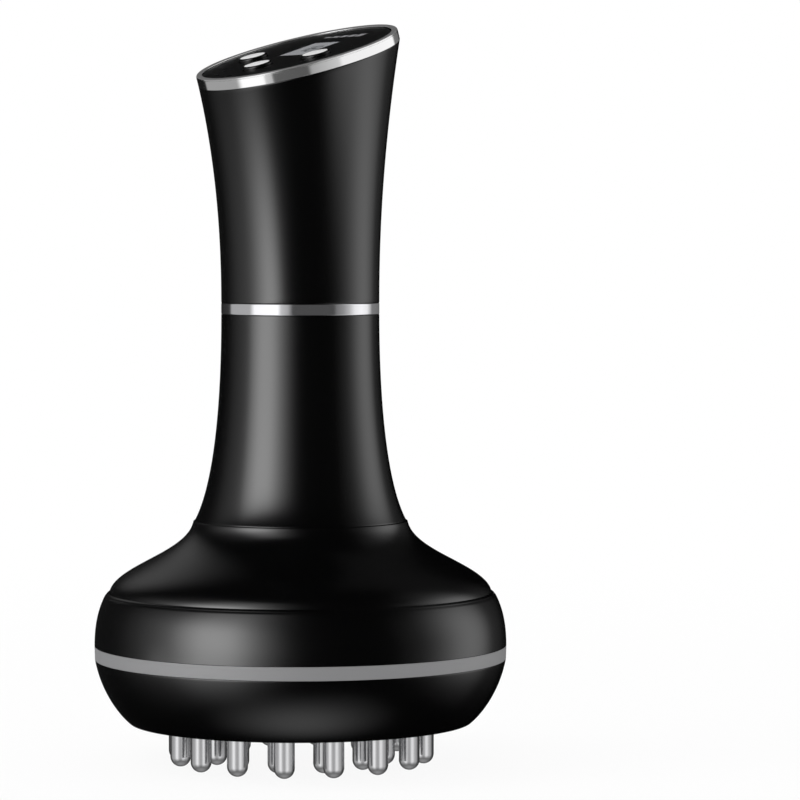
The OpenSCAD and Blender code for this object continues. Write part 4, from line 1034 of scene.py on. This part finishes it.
# Level marks
# Five short bars above the display, each a little taller than the last, printed on the panel
# in a pale ink.
pale_print = grain(finish("pale_print", (0.3, 0.3, 0.31), 0.4), 0.2 * mm, 0.0005 * mm, (0.35, 0.45))
mark_count = 5
marks_y = 14.4 * mm
mark_pitch = 3 * mm
mark_width = 2.3 * mm
first_mark_length = 1 * mm
mark_growth = 0.35 * mm
marks = []
for number in range(mark_count):
    mark_x = (number - (mark_count - 1) / 2) * mark_pitch
    mark_length = first_mark_length + mark_growth * number
    mark = block(
        (mark_width, mark_length, ink_thickness),
        (mark_x, marks_y + mark_length / 2, panel_top + ink_thickness / 2))
    soften(mark, 0.012 * mm)
    marks.append(mark)
level_marks = joined(marks, "level_marks")
set_on_slant(level_marks)
fit(level_marks, pale_print, "housing", "panel")

# Buttons
# Round black caps that slide square to the panel, each with a slightly domed face printed in light
# silver. The light face is partly a painted highlight, and the near-black sides are partly painted
# shade round the raised cap. A flange keeps the cap under the panel, and the stem below presses a
# switch.
cap_rise = 1 * mm
cap_top = panel_top + cap_rise
dome = 0.25 * mm
# Above this height the face is light silver, partly a painted highlight. Below it the sides are near
# black, partly painted shade.
silver_face_and_highlight_foot = cap_top - 0.7 * dome
cap_painted_highlight_and_shade = above_slant(
    grain(finish("silver_faced_cap", (0.9, 0.9, 0.9), 0.3), 0.3 * mm, 0.001 * mm, (0.24, 0.34)),
    silver_face_and_highlight_foot, (0.002, 0.9), (0.25, 0.35), (0, 0))
flange_top = panel_foot - 0.3 * mm
flange_foot = flange_top - 0.9 * mm
flange_radius = button_radius + 0.8 * mm
stem_radius = 1.5 * mm
stem_foot = -0.9 * mm
edge_round = 0.35 * mm
face_radius = button_radius - edge_round
face_foot = cap_top - dome
domed_face = [
    (face_radius * cos(radians(angle)), face_foot + dome * sin(radians(angle)))
    for angle in range(15, 91, 15)]
cap_outline = [
    (0, stem_foot), (stem_radius, stem_foot), (stem_radius, flange_foot),
    (flange_radius, flange_foot), (flange_radius, flange_top), (button_radius, flange_top)] + arc(
    (face_radius, face_foot - edge_round), edge_round, 0, 80, 5) + domed_face
cap = turned("button_cap", cap_outline, 0.05 * mm, around=96)
for side_name, spot in button_spots.items():
    twin = copy_of(cap, f"{side_name}_button_cap")
    twin.data.transform(Matrix.Translation((*spot, 0)))
    set_on_slant(twin)
    fit(twin, cap_painted_highlight_and_shade, f"{side_name}_key", "button", f"{side_name}_button")
bpy.data.objects.remove(cap)

# Reflections
# The lower handle, the pieces of the head, the ring, the bezel and the pins reflect their own
# tents, and all the rest reflects the handle's.
tent_pieces = {
    "neck": ("lower_handle",),
    "head": ("lower_head_bowl", "grey_trim_band", "upper_head_band", "head_shoulder_cover"),
    "ring": ("waist_ring",),
    "bezel": ("panel_bezel_frame",),
    "pin": ("outer_pin", "inner_pin")}
for piece in bpy.data.objects:
    if piece.type == "MESH" and piece != floor and piece not in tents.values():
        owners = [name for name, pieces in tent_pieces.items() if piece.name.startswith(pieces)]
        tent = tents[owners[0] if owners else "handle"]
        tent.light_linking.receiver_collection.objects.link(piece)
